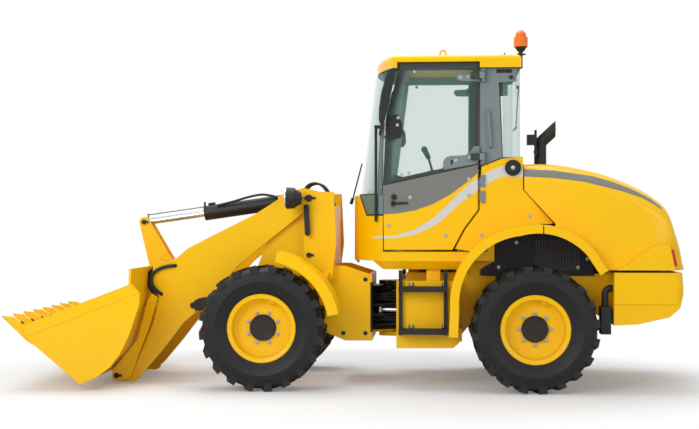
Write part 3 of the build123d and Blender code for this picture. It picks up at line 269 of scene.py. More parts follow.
SWOOSH_TOP = [(-0.09, 1.4), (-0.366, 1.417), (-0.499, 1.427), (-0.664, 1.477), (-0.83, 1.579), (-0.912, 1.654),
              (-0.995, 1.736), (-1.077, 1.819), (-1.159, 1.893), (-1.241, 1.951), (-1.324, 2.0), (-1.406, 2.045),
              (-1.488, 2.069), (-1.668, 2.054)]
SWOOSH_LOW = [(-0.09, 1.394), (-0.366, 1.394), (-0.499, 1.4), (-0.664, 1.43), (-0.83, 1.505), (-0.912, 1.563),
              (-0.995, 1.637), (-1.077, 1.72), (-1.159, 1.778), (-1.241, 1.835), (-1.324, 1.89), (-1.406, 1.942),
              (-1.488, 1.967), (-1.668, 1.965)]
HOOD_TOP = [(-1.67, 2.036), (-1.946, 2.022), (-2.294, 1.965), (-2.467, 1.912), (-2.639, 1.845), (-2.812, 1.754),
            (-2.9, 1.68)]
HOOD_LOW = [(-1.67, 1.966), (-1.946, 1.948), (-2.207, 1.912), (-2.38, 1.868), (-2.553, 1.824), (-2.726, 1.763),
            (-2.812, 1.715), (-2.9, 1.66)]
DOOR_CURVE = [(-0.36, 1.616), (-0.499, 1.626), (-0.664, 1.654), (-0.83, 1.712), (-0.995, 1.803), (-1.159, 1.926),
              (-1.26, 2.015)]
SILL_LINE = [(-0.36, 1.882), (-1.26, 2.078)]


def between(graph: Graph, x: Signal, z: Signal, top: Sequence[Point], low: Sequence[Point]) -> Signal:
    """1 between two lines drawn on the machine's side, within their span in X."""
    start, end = min(p[0] for p in top), max(p[0] for p in top)
    return (z < graph.curve(x, top)) * (z > graph.curve(x, low)) * (x > start) * (x < end)


@dataclass(frozen=True)
class Paint:
    """Glossy machine paint with a faint orange peel and dust low down."""

    name: str
    colour: Colour
    roughness: float = 0.36
    coat: float = 0.12
    edge: float = 0.006
    masks: Callable | None = None

    def build(self) -> bpy.types.Material:
        """Make the material, with the masks' other colours painted over the base."""
        graph = Graph(self.name)
        x, y, z = graph.place()
        cloud = graph.noise(1.7, 2.0)
        base = graph.mix(cloud * 0.5, self.colour, tuple(c * 0.93 for c in self.colour))
        if self.masks:
            for mask, colour in self.masks(graph, x, y, z):
                base = graph.mix(mask, base, colour)
        dust = (1 - z.step(0.25, 0.95)) * graph.noise(9.0, 5.0) * 0.16
        colour = graph.mix(dust, base, DUST)
        peel = graph.noise(260.0, 1.0) * 0.6 + graph.noise(35.0, 2.0) * 0.4
        return graph.surface(
            Base_Color=colour,
            Roughness=cloud * 0.06 + dust + self.roughness,
            Coat_Weight=self.coat,
            Coat_Roughness=0.12,
            Specular_IOR_Level=0.16,
            Normal=graph.bump(peel, 0.0005, 0.35, self.edge),
        )


@dataclass(frozen=True)
class Plain:
    """Plastic, iron or steel in one colour with fine grain."""

    name: str
    colour: Colour
    roughness: float = 0.5
    metal: float = 0.0
    grain: float = 320.0
    relief: float = 0.0004
    stretch: tuple[float, float, float] = (1.0, 1.0, 1.0)

    def build(self) -> bpy.types.Material:
        """Make the material."""
        graph = Graph(self.name)
        grain = graph.noise(self.grain, 3.0, self.stretch)
        cloud = graph.noise(4.0, 3.0)
        colour = graph.mix(cloud, self.colour, tuple(min(1.0, c * 1.35 + 0.004) for c in self.colour))
        return graph.surface(
            Base_Color=colour,
            Metallic=self.metal,
            Roughness=cloud * 0.12 + self.roughness,
            Specular_IOR_Level=0.35,
            Normal=graph.bump(grain, self.relief, 0.6, 0.003),
        )


@dataclass(frozen=True)
class Glass:
    """Pale green safety glass."""

    name: str
    tint: Colour = (0.2, 0.5, 0.41)
    cover: float = 0.12
    deep: float = 0.0

    def build(self) -> bpy.types.Material:
        """Make the material: mostly clear, with faint streaks in its gloss."""
        graph = Graph(self.name)
        streaks = graph.noise(3.0, 3.0, (1, 1, 0.2))
        x, y, _ = graph.place()
        edge = (x > -0.36) * abs(y).step(0.2, 0.6) + (x < -1.45) * 0.25
        cover = edge * self.deep + self.cover
        return graph.surface(Base_Color=self.tint, Roughness=streaks * 0.05 + 0.02, Alpha=cover)


@dataclass(frozen=True)
class Rubber:
    """Tyre rubber with moulded rings about its axle and brown dust on the lugs."""

    name: str
    centre: Point

    def build(self) -> bpy.types.Material:
        """Make the material."""
        graph = Graph(self.name)
        x, _, z = graph.place()
        radius = radius_about(x, z, self.centre)
        rings = (radius * 480).wave() * radius.step(0.335, 0.34) * (1 - radius.step(0.37, 0.375))
        bead = radius.step(0.452, 0.456) * (1 - radius.step(0.466, 0.47))
        grain = graph.noise(160.0, 4.0)
        tread = radius.step(0.5, 0.56)
        dust = tread * graph.noise(14.0, 5.0) * 0.5 + graph.noise(5.0, 4.0) * 0.12
        colour = graph.mix(dust, (0.007, 0.0072, 0.0075), (0.045, 0.041, 0.036))
        return graph.surface(
            Base_Color=colour,
            Roughness=dust * 0.3 + 0.5,
            Specular_IOR_Level=0.3,
            Normal=graph.bump(rings * 0.25 + bead * 0.8 + grain * 0.35, 0.004, 0.7, 0.006),
        )


@dataclass(frozen=True)
class Dome:
    """The beacon: an amber lens on a dark stalk."""

    name: str
    lens_low: float = 3.186

    def build(self) -> bpy.types.Material:
        """Make the material, split by height."""
        graph = Graph(self.name)
        *_, z = graph.place()
        lens = z > self.lens_low
        base = graph.mix(lens, (0.02, 0.016, 0.014), (0.95, 0.19, 0.006))
        ribs = (z * 900).wave() * lens
        return graph.surface(Base_Color=base, Roughness=lens * -0.25 + 0.45, Normal=graph.bump(ribs, 0.0008, 0.6))


@dataclass(frozen=True)
class Cloth:
    """Woven seat cloth."""

    name: str
    colour: Colour = (0.03, 0.03, 0.034)

    def build(self) -> bpy.types.Material:
        """Make the material from two crossed waves."""
        graph = Graph(self.name)
        x, y, z = graph.place()
        weave = (x * 1800 + z * 1800).wave() * (y * 1800).wave()
        colour = graph.mix(weave * 0.5 + 0.5, self.colour, tuple(c * 2.2 for c in self.colour))
        normal = graph.bump(weave, 0.0006, 0.7)
        return graph.surface(Base_Color=colour, Roughness=0.88, Sheen_Weight=0.2, Normal=normal)


def side_masks(graph: Graph, x: Signal, y: Signal, z: Signal) -> list[tuple[Signal, Colour]]:
    """Silver swoosh over the nose, the doors and the side panels."""
    outside = abs(y) > 0.6
    return [(between(graph, x, z, SWOOSH_TOP, SWOOSH_LOW) * outside, SILVER)]


def door_masks(graph: Graph, x: Signal, y: Signal, z: Signal) -> list[tuple[Signal, Colour]]:
    """Door colours: grey panel over the curve, dark window surround, silver swoosh."""
    panel = (z > graph.curve(x, DOOR_CURVE)) * (x > -1.262)
    surround = z > graph.curve(x, SILL_LINE)
    hinge = x < -1.262
    return side_masks(graph, x, y, z) + [(panel, PANEL_GREY), (surround, SEAL_GREY), (hinge, PILLAR_GREY)]


def hood_masks(graph: Graph, x: Signal, y: Signal, z: Signal) -> list[tuple[Signal, Colour]]:
    """Grey stripe along the hood's shoulders."""
    return [(between(graph, x, z, HOOD_TOP, HOOD_LOW) * (abs(y) > 0.45), STRIPE_GREY)]


def nose_masks(graph: Graph, x: Signal, y: Signal, z: Signal) -> list[tuple[Signal, Colour]]:
    """Swoosh on the nose, with the low corner panes of the screen and their pillars painted on it."""
    low = (z - 1.617) * 0.373 - 0.212
    seal = (z > 1.605) * (x < low + 0.014) * (abs(y) > 0.2)
    pane = (z > 1.62) * (x < low)
    pillar = pane * (x < -0.325)
    return side_masks(graph, x, y, z) + [(seal, BLACK), (pane * seal, PANE_GREEN), (pillar * seal, PILLAR_GREY)]


def roof_masks(graph: Graph, x: Signal, y: Signal, z: Signal) -> list[tuple[Signal, Colour]]:
    """Dark lining under the roof."""
    return [(z < 2.974, LINING)]


def hitch_masks(graph: Graph, x: Signal, y: Signal, z: Signal) -> list[tuple[Signal, Colour]]:
    """Black lugs between the two frames."""
    return [((x > -0.4785) * (x < -0.236) * (z > 0.5) * (z < 0.975), BLACK)]


def rim_masks(centre: Point) -> Callable:
    """Dark hub cap in the middle of each rim."""

    def masks(graph: Graph, x: Signal, y: Signal, z: Signal) -> list[tuple[Signal, Colour]]:
        """The cap's mask."""
        return [(radius_about(x, z, centre) < 0.1215, HUB_CAP)]

    return masks


FRONT_WHEEL = (0.732, 0.575)
REAR_WHEEL = (-1.754, 0.575)

FINISHES = {
    "yellow": Paint("machine_yellow", YELLOW),
    "nose_yellow": Paint("nose_yellow_with_panes", YELLOW, 0.3, 0.2, masks=nose_masks),
    "roof_yellow": Paint("roof_yellow", YELLOW, 0.3, 0.2, masks=roof_masks),
    "frame_yellow": Paint("frame_yellow_with_black_lugs", YELLOW, masks=hitch_masks),
    "side_yellow": Paint("panel_yellow_with_swoosh", YELLOW, 0.3, 0.2, masks=side_masks),
    "door_colours": Paint("door_colours", YELLOW, 0.3, 0.2, masks=door_masks),
    "hood_yellow": Paint("hood_yellow_with_stripe", YELLOW, 0.28, 0.25, 0.012, hood_masks),
    "front_rim": Paint("front_rim_yellow", YELLOW, 0.34, 0.12, masks=rim_masks(FRONT_WHEEL)),
    "rear_rim": Paint("rear_rim_yellow", YELLOW, 0.34, 0.12, masks=rim_masks(REAR_WHEEL)),
    "pillar": Paint("pillar_grey", PILLAR_GREY, 0.38, 0.1),
    "black_paint": Plain("black_paint", (0.009, 0.009, 0.01), 0.42),
    "grille": Plain("grille_bars", (0.09, 0.09, 0.09), 0.5),
    "black_plastic": Plain("black_plastic", BLACK, 0.5, relief=0.0006),
    "seal": Plain("window_seal", SEAL_GREY, 0.6),
    "iron": Plain("dark_iron", (0.03, 0.03, 0.031), 0.55, 0.4, 60.0, 0.002),
    "chrome": Plain("rod_chrome", (0.5, 0.5, 0.52), 0.2, 1.0, relief=0.0001),
    "steel": Plain("thin_steel", (0.16, 0.13, 0.11), 0.4, 0.6),
    "zinc": Plain("zinc_bolts", (0.38, 0.37, 0.34), 0.38, 0.9),
    "hose": Plain("hose_rubber", (0.014, 0.014, 0.014), 0.5, relief=0.001),
    "glass": Glass("cab_glass", deep=0.26),
    "lens": Glass("lamp_glass", (0.8, 0.85, 0.88), 0.35),
    "reflector": Plain("lamp_reflector", (0.75, 0.76, 0.78), 0.18, 1.0),
    "front_tyre": Rubber("front_tyre_rubber", FRONT_WHEEL),
    "rear_tyre": Rubber("rear_tyre_rubber", REAR_WHEEL),
    "beacon": Dome("beacon_amber"),
    "tail_lens": Plain("tail_lens_red", (0.42, 0.012, 0.012), 0.2, relief=0.0008),
    "cloth": Cloth("seat_cloth"),
}
MADE: dict[str, bpy.types.Material] = {}


def finish(key: str) -> bpy.types.Material:
    """The material of that finish, made once."""
    if key not in MADE:
        MADE[key] = FINISHES[key].build()
    return MADE[key]


NODE_FINISHES = {
    "hood": "hood_yellow", "side_panels": "side_yellow", "cab_base": "nose_yellow", "cab_roof": "roof_yellow",
    "front_frame": "frame_yellow", "rear_frame": "frame_yellow", "door_left": "door_colours",
    "door_right": "door_colours", "cab_frame": "pillar", "cab_glass": "glass", "door_glass_left": "glass",
    "door_glass_right": "glass", "engine_block": "iron", "valve_block": "iron", "arch_panels": "black_paint",
    "exhaust_stack": "black_paint", "steps": "black_paint", "controls": "black_plastic", "mirrors": "black_plastic",
    "filler_cap": "black_plastic", "beacon": "beacon", "headlights": "black_plastic",
    "indicator_paddles": "black_plastic", "tail_lamps": "tail_lens", "tilt_barrel": "black_paint",
    "air_box": "black_plastic",
    "tilt_rod": "chrome", "lift_rods": "chrome", "steer_rod_left": "chrome", "steer_rod_right": "chrome",
    "steer_barrel_left": "black_paint", "steer_barrel_right": "black_paint",
    "tyre_front_left": "front_tyre", "tyre_front_right": "front_tyre",
    "tyre_rear_left": "rear_tyre", "tyre_rear_right": "rear_tyre",
    "rim_front_left": "front_rim", "rim_front_right": "front_rim",
    "rim_rear_left": "rear_rim", "rim_rear_right": "rear_rim",
}


def dress_nodes() -> None:
    """Give every CAD node its finish."""
    for name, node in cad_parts.items():
        material = finish(NODE_FINISHES.get(name, "yellow"))
        node.data.materials.clear()
        node.data.materials.append(material)


# Mesh helpers


def piece(
    name: str, mesh: bpy.types.Mesh, body: str | None = Body.REAR, material: str = "black_plastic"
) -> bpy.types.Object:
    """Link a finished mesh as a piece of the object.

    Args:
        name: the piece's name.
        mesh: its mesh, in the row frame.
        body: the CAD body that carries it, or None for a piece that no body carries.
        material: key of its finish, which also fills the mesh's one material slot.

    Returns:
        The new object.
    """
    mesh.name = name
    obj = bpy.data.objects.new(name, mesh)
    bpy.context.scene.collection.objects.link(obj)
    mesh.materials.clear()
    mesh.materials.append(finish(material))
    if body:
        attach(obj, body)
    LOG.info("%s: %d faces on %s", name, len(mesh.polygons), body)
    return obj


def to_mesh(form: bmesh.types.BMesh, smooth: bool = False) -> bpy.types.Mesh:
    """Turn a bmesh into a mesh with its faces pointing outwards."""
    bmesh.ops.remove_doubles(form, verts=form.verts, dist=1e-6)
    bmesh.ops.recalc_face_normals(form, faces=form.faces)
    mesh = bpy.data.meshes.new("form")
    form.to_mesh(mesh)
    form.free()
    mesh.polygons.foreach_set("use_smooth", [smooth] * len(mesh.polygons))
    return mesh


def bevelled(form: bmesh.types.BMesh, width: float) -> bmesh.types.BMesh:
    """Round every edge of the form that is sharper than about 30 degrees.

    Plates and boxes have no normals until a later operator, such as rod's, gives them some.
    Their edges stay sharp here when nothing follows them.

    Args:
        form: the form to round.
        width: width of the rounding.

    Returns:
        The same form.
    """
    sharp = [e for e in form.edges if len(e.link_faces) == 2 and e.calc_face_angle(0) > 0.5]
    bmesh.ops.bevel(form, geom=sharp, offset=width, segments=2, profile=0.6, affect="EDGES", clamp_overlap=True)
    return form


def prism(form: bmesh.types.BMesh, outline: Sequence[Point], y0: float, y1: float) -> None:
    """Add a plate with its outline in X and Z, between two planes of Y in either order."""
    low, high = sorted((y0, y1))
    near = [form.verts.new((x, low, z)) for x, z in outline]
    far = [form.verts.new((x, high, z)) for x, z in outline]
    form.faces.new(near)
    form.faces.new(list(reversed(far)))
    for i in range(len(outline)):
        j = (i + 1) % len(outline)
        form.faces.new((near[j], near[i], far[i], far[j]))


def box(form: bmesh.types.BMesh, low: Point, high: Point) -> None:
    """Add a box between two corners, whose Y may come in either order."""
    prism(form, [(low[0], low[2]), (high[0], low[2]), (high[0], high[2]), (low[0], high[2])], low[1], high[1])


def rod(
    form: bmesh.types.BMesh, start: Point, end: Point, radius: float, sides: int = 16, tip: float | None = None
) -> None:
    """Add a round bar or cone between two points."""
    a, b = Vector(start), Vector(end)
    turn = (b - a).to_track_quat("Z", "Y").to_matrix().to_4x4()
    matrix = Matrix.Translation((a + b) / 2) @ turn
    bmesh.ops.create_cone(
        form, cap_ends=True, segments=sides, radius1=radius, radius2=radius if tip is None else tip,
        depth=(b - a).length, matrix=matrix,
    )


def mirrored(form: bmesh.types.BMesh) -> bmesh.types.BMesh:
    """Add the form's mirror image on the machine's other side."""
    copy = bmesh.ops.duplicate(form, geom=form.verts[:] + form.edges[:] + form.faces[:])
    verts = [item for item in copy["geom"] if isinstance(item, bmesh.types.BMVert)]
    bmesh.ops.scale(form, vec=(1, -1, 1), verts=verts)
    return form


def built(
    name: str, body: str = Body.REAR, material: str = "black_plastic", *, plates: Iterable = (),
    boxes: Iterable = (), rods: Iterable = (), both: bool = False, smooth: bool = False,
) -> bpy.types.Object:
    """Make one piece from plates, boxes and rods.

    Args:
        name: the piece's name.
        body: the body that carries it.
        material: key of its finish.
        plates: rows of outline and two Y planes, as prism takes them.
        boxes: rows of two corners.
        rods: rows of start, end, radius and what else rod takes.
        both: whether its mirror image is added on the other side.
        smooth: whether its faces are shaded smooth.

    Returns:
        The new object.
    """
    form = bmesh.new()
    for add, rows in ((prism, plates), (box, boxes), (rod, rods)):
        for values in rows:
            add(form, *values)
    if both:
        mirrored(form)
    return piece(name, to_mesh(form, smooth), body, material)


def tube(points: Sequence[Point], radius: float, sides: int = 5) -> bpy.types.Mesh:
    """A round hose or pipe along a smooth line through control points, with closed ends."""
    curve = bpy.data.curves.new("line", "CURVE")
    curve.dimensions = "3D"
    curve.bevel_depth = radius
    curve.bevel_resolution = sides
    curve.use_fill_caps = True
    curve.resolution_u = 10
    spline = curve.splines.new("NURBS")
    spline.points.add(len(points) - 1)
    for control, point in zip(spline.points, points):
        control.co = (*point, 1.0)
    spline.order_u = 3
    spline.use_endpoint_u = True
    holder = bpy.data.objects.new("line", curve)
    mesh = bpy.data.meshes.new_from_object(holder)
    bpy.data.objects.remove(holder)
    bpy.data.curves.remove(curve)
    form = bmesh.new()
    form.from_mesh(mesh)
    bpy.data.meshes.remove(mesh)
    return to_mesh(form, True)


def hose(name: str, body: str, line: Iterable[Point], y: float, radius: float) -> None:
    """Add a hose that runs in the plane at y through X and Z pairs."""
    piece(name, tube([(x, y, z) for x, z in line], radius), body, "hose")


TREES: dict[str, BVHTree] = {}


def cast(node: str, start: Point, way: Point) -> Vector:
    """First point where a ray meets a CAD node.

    Args:
        node: the node's name.
        start: where the ray begins.
        way: its direction.

    Returns:
        The point met.
    """
    if node not in TREES:
        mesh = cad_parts[node].data
        TREES[node] = BVHTree.FromPolygons([v.co for v in mesh.vertices], [p.vertices for p in mesh.polygons])
    hit = TREES[node].ray_cast(Vector(start), Vector(way))[0]
    if hit is None:
        raise ValueError(f"{node} isn't met from {tuple(start)}")
    return hit


def on_side(node: str, points: Iterable[Point], side: Side, lift: float = 0.003) -> list[tuple[Point, Point]]:
    """Bolt places on a node's outer side, from X and Z pairs, each with its facing."""
    way = (0, side.value, 0)
    hits = [cast(node, (x, side.value * 3.0, z), (0, -side.value, 0)) for x, z in points]
    return [(hit + Vector(way) * lift, way) for hit in hits]


def at_side(points: Iterable[Point], side: Side, y: float) -> list[tuple[Point, Point]]:
    """Bolt places at a distance y from the middle, from X and Z pairs, each with its facing."""
    return [((x, side.value * y, z), (0, side.value, 0)) for x, z in points]


# Geometry Nodes


class NodeTool:
    """A Geometry Nodes tree with named inputs, applied to a mesh."""

    def __init__(self, name: str, inputs: Sequence[tuple[str, str, object]]) -> None:
        """Start the tree with its inputs: (name, socket type, default)."""
        self.tree = bpy.data.node_groups.new(name, "GeometryNodeTree")
        self.tree.interface.new_socket("Geometry", in_out="INPUT", socket_type="NodeSocketGeometry")
        for label, kind, value in inputs:
            self.tree.interface.new_socket(label, in_out="INPUT", socket_type=kind).default_value = value
        self.tree.interface.new_socket("Geometry", in_out="OUTPUT", socket_type="NodeSocketGeometry")
        self.source = self.tree.nodes.new("NodeGroupInput")
        self.target = self.tree.nodes.new("NodeGroupOutput")

    def node(self, kind: str, settings: dict | None = None, sockets: dict | None = None) -> bpy.types.Node:
        """Add a node with its settings, values and links."""
        node = self.tree.nodes.new(kind)
        for key, value in (settings or {}).items():
            setattr(node, key, value)
        for key, value in (sockets or {}).items():
            if isinstance(value, bpy.types.NodeSocket):
                self.tree.links.new(value, node.inputs[key])
            else:
                node.inputs[key].default_value = value
        return node

    def given(self, label: str) -> bpy.types.NodeSocket:
        """The named input's socket inside the tree."""
        return self.source.outputs[label]

    def close(self, instances: bpy.types.NodeSocket, material: str) -> None:
        """End the tree in Realize Instances and Set Material."""
        real = self.node("GeometryNodeRealizeInstances", None, {"Geometry": instances})
        sockets = {"Geometry": real.outputs[0], "Material": finish(material)}
        dressed = self.node("GeometryNodeSetMaterial", None, sockets)
        self.tree.links.new(dressed.outputs[0], self.target.inputs[0])

    def apply(self, mesh: bpy.types.Mesh, values: dict[str, object]) -> bpy.types.Mesh:
        """Run the tree on a mesh and return the plain result.

        Args:
            mesh: the input mesh.
            values: inputs by name.

        Returns:
            A new mesh.
        """
        holder = bpy.data.objects.new("tool", mesh)
        bpy.context.scene.collection.objects.link(holder)
        modifier = holder.modifiers.new("tool", "NODES")
        modifier.node_group = self.tree
        for item in self.tree.interface.items_tree:
            if item.item_type == "SOCKET" and item.in_out == "INPUT" and item.name in values:
                modifier[item.identifier] = values[item.name]
        bpy.context.view_layer.update()
        evaluated = holder.evaluated_get(bpy.context.evaluated_depsgraph_get())
        result = bpy.data.meshes.new_from_object(evaluated)
        bpy.data.objects.remove(holder)
        return result


def bolt_tool(material: str) -> NodeTool:
    """Tree that sets a hexagon bolt with its washer on every vertex, turned by the vertex's facing."""
    tool = NodeTool("bolts_" + material, [("Radius", "NodeSocketFloat", 0.012), ("Height", "NodeSocketFloat", 0.01)])
    shape = tool.node("GeometryNodeJoinGeometry")
    for sides, *shares in ((6, 1.0, 1.0), (16, 1.45, 0.45)):
        radius, height = (
            tool.node("ShaderNodeMath", {"operation": "MULTIPLY"}, {0: tool.given(label), 1: share}).outputs[0]
            for label, share in zip(("Radius", "Height"), shares)
        )
        form = tool.node("GeometryNodeMeshCylinder", None, {"Vertices": sides, "Radius": radius, "Depth": height})
        tool.tree.links.new(form.outputs[0], shape.inputs[0])
    normal = tool.node("GeometryNodeInputNamedAttribute", {"data_type": "FLOAT_VECTOR"}, {"Name": "facing"})
    turn = tool.node("FunctionNodeAlignRotationToVector", {"axis": "Z"}, {"Vector": normal.outputs[0]})
    sockets = {"Points": tool.given("Geometry"), "Instance": shape.outputs[0], "Rotation": turn.outputs[0]}
    tool.close(tool.node("GeometryNodeInstanceOnPoints", None, sockets).outputs[0], material)
    return tool


def row_tool(material: str) -> NodeTool:
    """Tree that repeats its input mesh in a straight row."""
    tool = NodeTool("row_" + material, [("Count", "NodeSocketInt", 8), ("Step", "NodeSocketVector", (0, 0, 0.02))])
    sockets = {"Count": tool.given("Count"), "Offset": tool.given("Step")}
    line = tool.node("GeometryNodeMeshLine", {"mode": "OFFSET"}, sockets)
    sockets = {"Points": line.outputs[0], "Instance": tool.given("Geometry")}
    tool.close(tool.node("GeometryNodeInstanceOnPoints", None, sockets).outputs[0], material)
    return tool


def slat_tool(material: str) -> NodeTool:
    """Tree that sets a box of a given size on every vertex."""
    tool = NodeTool("slats_" + material, [("Size", "NodeSocketVector", (0.02, 0.6, 0.01))])
    slat = tool.node("GeometryNodeMeshCube", None, {"Size": tool.given("Size")})
    sockets = {"Points": tool.given("Geometry"), "Instance": slat.outputs[0]}
    tool.close(tool.node("GeometryNodeInstanceOnPoints", None, sockets).outputs[0], material)
    return tool


TOOLS: dict[tuple[Callable, str], NodeTool] = {}


def run(kind: Callable[[str], NodeTool], material: str, mesh: bpy.types.Mesh, values: dict) -> bpy.types.Mesh:
    """Apply the tree of that kind and material, made once, to a mesh."""
    if (kind, material) not in TOOLS:
        TOOLS[kind, material] = kind(material)
    return TOOLS[kind, material].apply(mesh, values)


def places_mesh(points: Iterable[Point]) -> bpy.types.Mesh:
    """A mesh of loose vertices on the given points."""
    mesh = bpy.data.meshes.new("places")
    mesh.from_pydata([tuple(p) for p in points], [], [])
    return mesh


def bolts(
    name: str, body: str, points: Sequence[tuple[Point, Point]], radius: float, height: float, material: str = "zinc"
) -> None:
    """Add a set of bolts as one piece.

    Args:
        name: the piece's name.
        body: the body that carries them.
        points: (place, facing) pairs.
        radius: half the width of a head.
        height: height of a head.
        material: key of their finish.
    """
    mesh = places_mesh(place for place, _ in points)
    facing = mesh.attributes.new("facing", "FLOAT_VECTOR", "POINT")
    for item, (_, way) in zip(facing.data, points):
        item.vector = way
    piece(name, run(bolt_tool, material, mesh, {"Radius": radius, "Height": height}), body, material)


def row(mesh: bpy.types.Mesh, count: int, step: Point, material: str) -> bpy.types.Mesh:
    """Repeat a mesh in a straight row."""
    return run(row_tool, material, mesh, {"Count": count, "Step": tuple(step)})


def slats(points: Iterable[Point], size: Point, material: str) -> bpy.types.Mesh:
    """Boxes of one size on the given points."""
    return run(slat_tool, material, places_mesh(points), {"Size": tuple(size)})


# Sub-assemblies


@dataclass
class Wheels:
    """Nuts, hub cap rings and valves on the four rims."""

    nuts: int = 8
    nut_circle: float = 0.145
    nut_radius: float = 0.0125
    nut_height: float = 0.02
    disc_y: float = 0.872
    cap_y: float = 0.9
    ribs: int = 36
    valve_turn: float = 110.0
    places: dict[str, tuple[Point, Side, float]] = field(default_factory=lambda: {
        "front_left": (FRONT_WHEEL, Side.LEFT, 22.5), "front_right": (FRONT_WHEEL, Side.RIGHT, 22.5),
        "rear_left": (REAR_WHEEL, Side.LEFT, 0.0), "rear_right": (REAR_WHEEL, Side.RIGHT, 0.0),
    })

    def build(self) -> None:
        """Add the fittings of each wheel."""
        for name, (centre, side, start) in self.places.items():
            body = "wheel_" + name
            turns = [start + 360 / self.nuts * i for i in range(self.nuts)]
            places = [self._round(centre, side, self.nut_circle, turn, self.disc_y + 0.008) for turn in turns]
            bolts("nuts_" + name, body, [(p, (0, side.value, 0)) for p in places], self.nut_radius, self.nut_height)
            studs = [(p, (p[0], p[1] + side.value * 0.019, p[2]), 0.006, 10) for p in places]
            built("studs_" + name, body, "zinc", rods=studs, smooth=True)
            self._cap(name, body, centre, side)

    def _round(self, centre: Point, side: Side, radius: float, turn: float, y: float) -> tuple[float, float, float]:
        """Point on a circle about the axle."""
        return (centre[0] + radius * cos(radians(turn)), side.value * y, centre[1] + radius * sin(radians(turn)))

    def _cap(self, name: str, body: str, centre: Point, side: Side) -> None:
        """Ribbed rim of the hub cap and the tyre valve."""
        ribs = []
        for i in range(self.ribs):
            turn = 360 / self.ribs * i
            a = self._round(centre, side, 0.116, turn, self.cap_y - 0.02)
            b = self._round(centre, side, 0.113, turn, self.cap_y + 0.001)
            ribs.append((a, b, 0.0045, 6))
        built("cap_ribs_" + name, body, rods=ribs)
        a = self._round(centre, side, 0.262, self.valve_turn, self.disc_y + 0.02)
        b = self._round(centre, side, 0.232, self.valve_turn, self.disc_y + 0.06)
        foot = ((a[0] - 0.032, a[1], a[2] - 0.022), (a[0] + 0.032, a[1] + side.value * 0.03, a[2] + 0.02))
        valve = bmesh.new()
        rod(valve, a, b, 0.009, 12, 0.006)
        box(bevelled(valve, 0.003), *foot)
        piece("valve_" + name, to_mesh(valve), body, "yellow")


@dataclass
class Lamps:
    """Headlamp glasses, reflectors and stays, and the work lamp by the exhaust."""

    front_x: float = 0.531
    y: float = 0.7
    z: float = 1.77
    radius: float = 0.088

    def build(self) -> None:
        """Add the lamps."""
        rows = [
            # name, finish, start and end ahead of the lamp's face, radius, tip
            ("headlamp_reflectors", "reflector", 0.0, 0.006, self.radius, None),
            ("headlamp_rings", "reflector", 0.002, 0.014, self.radius + 0.006, None),
            ("headlamp_glasses", "lens", 0.0145, 0.024, self.radius, self.radius - 0.016),
        ]
        for name, material, start, end, radius, tip in rows:
            discs = [
                ((self.front_x + start, y, self.z), (self.front_x + end, y, self.z), radius, 40, tip)
                for y in (self.y, -self.y)
            ]
            built(name, Body.FRONT, material, rods=discs, smooth=True)
        stays = [
            ((0.42, sign * 0.69, self.z + z), (0.36, sign * 0.545, self.z + z * 0.2), 0.009, 12)
            for sign in (1, -1) for z in (-0.02, 0.02)
        ]
        built("headlamp_stays", Body.FRONT, "chrome", rods=stays, smooth=True)
        built("rear_work_lamp", boxes=[
            ((-1.81, 0.27, 2.28), (-1.725, 0.39, 2.375)),
            ((-1.815, 0.3, 2.16), (-1.795, 0.36, 2.42)),
            ((-1.85, 0.29, 2.2), (-1.79, 0.31, 2.23)),
        ])


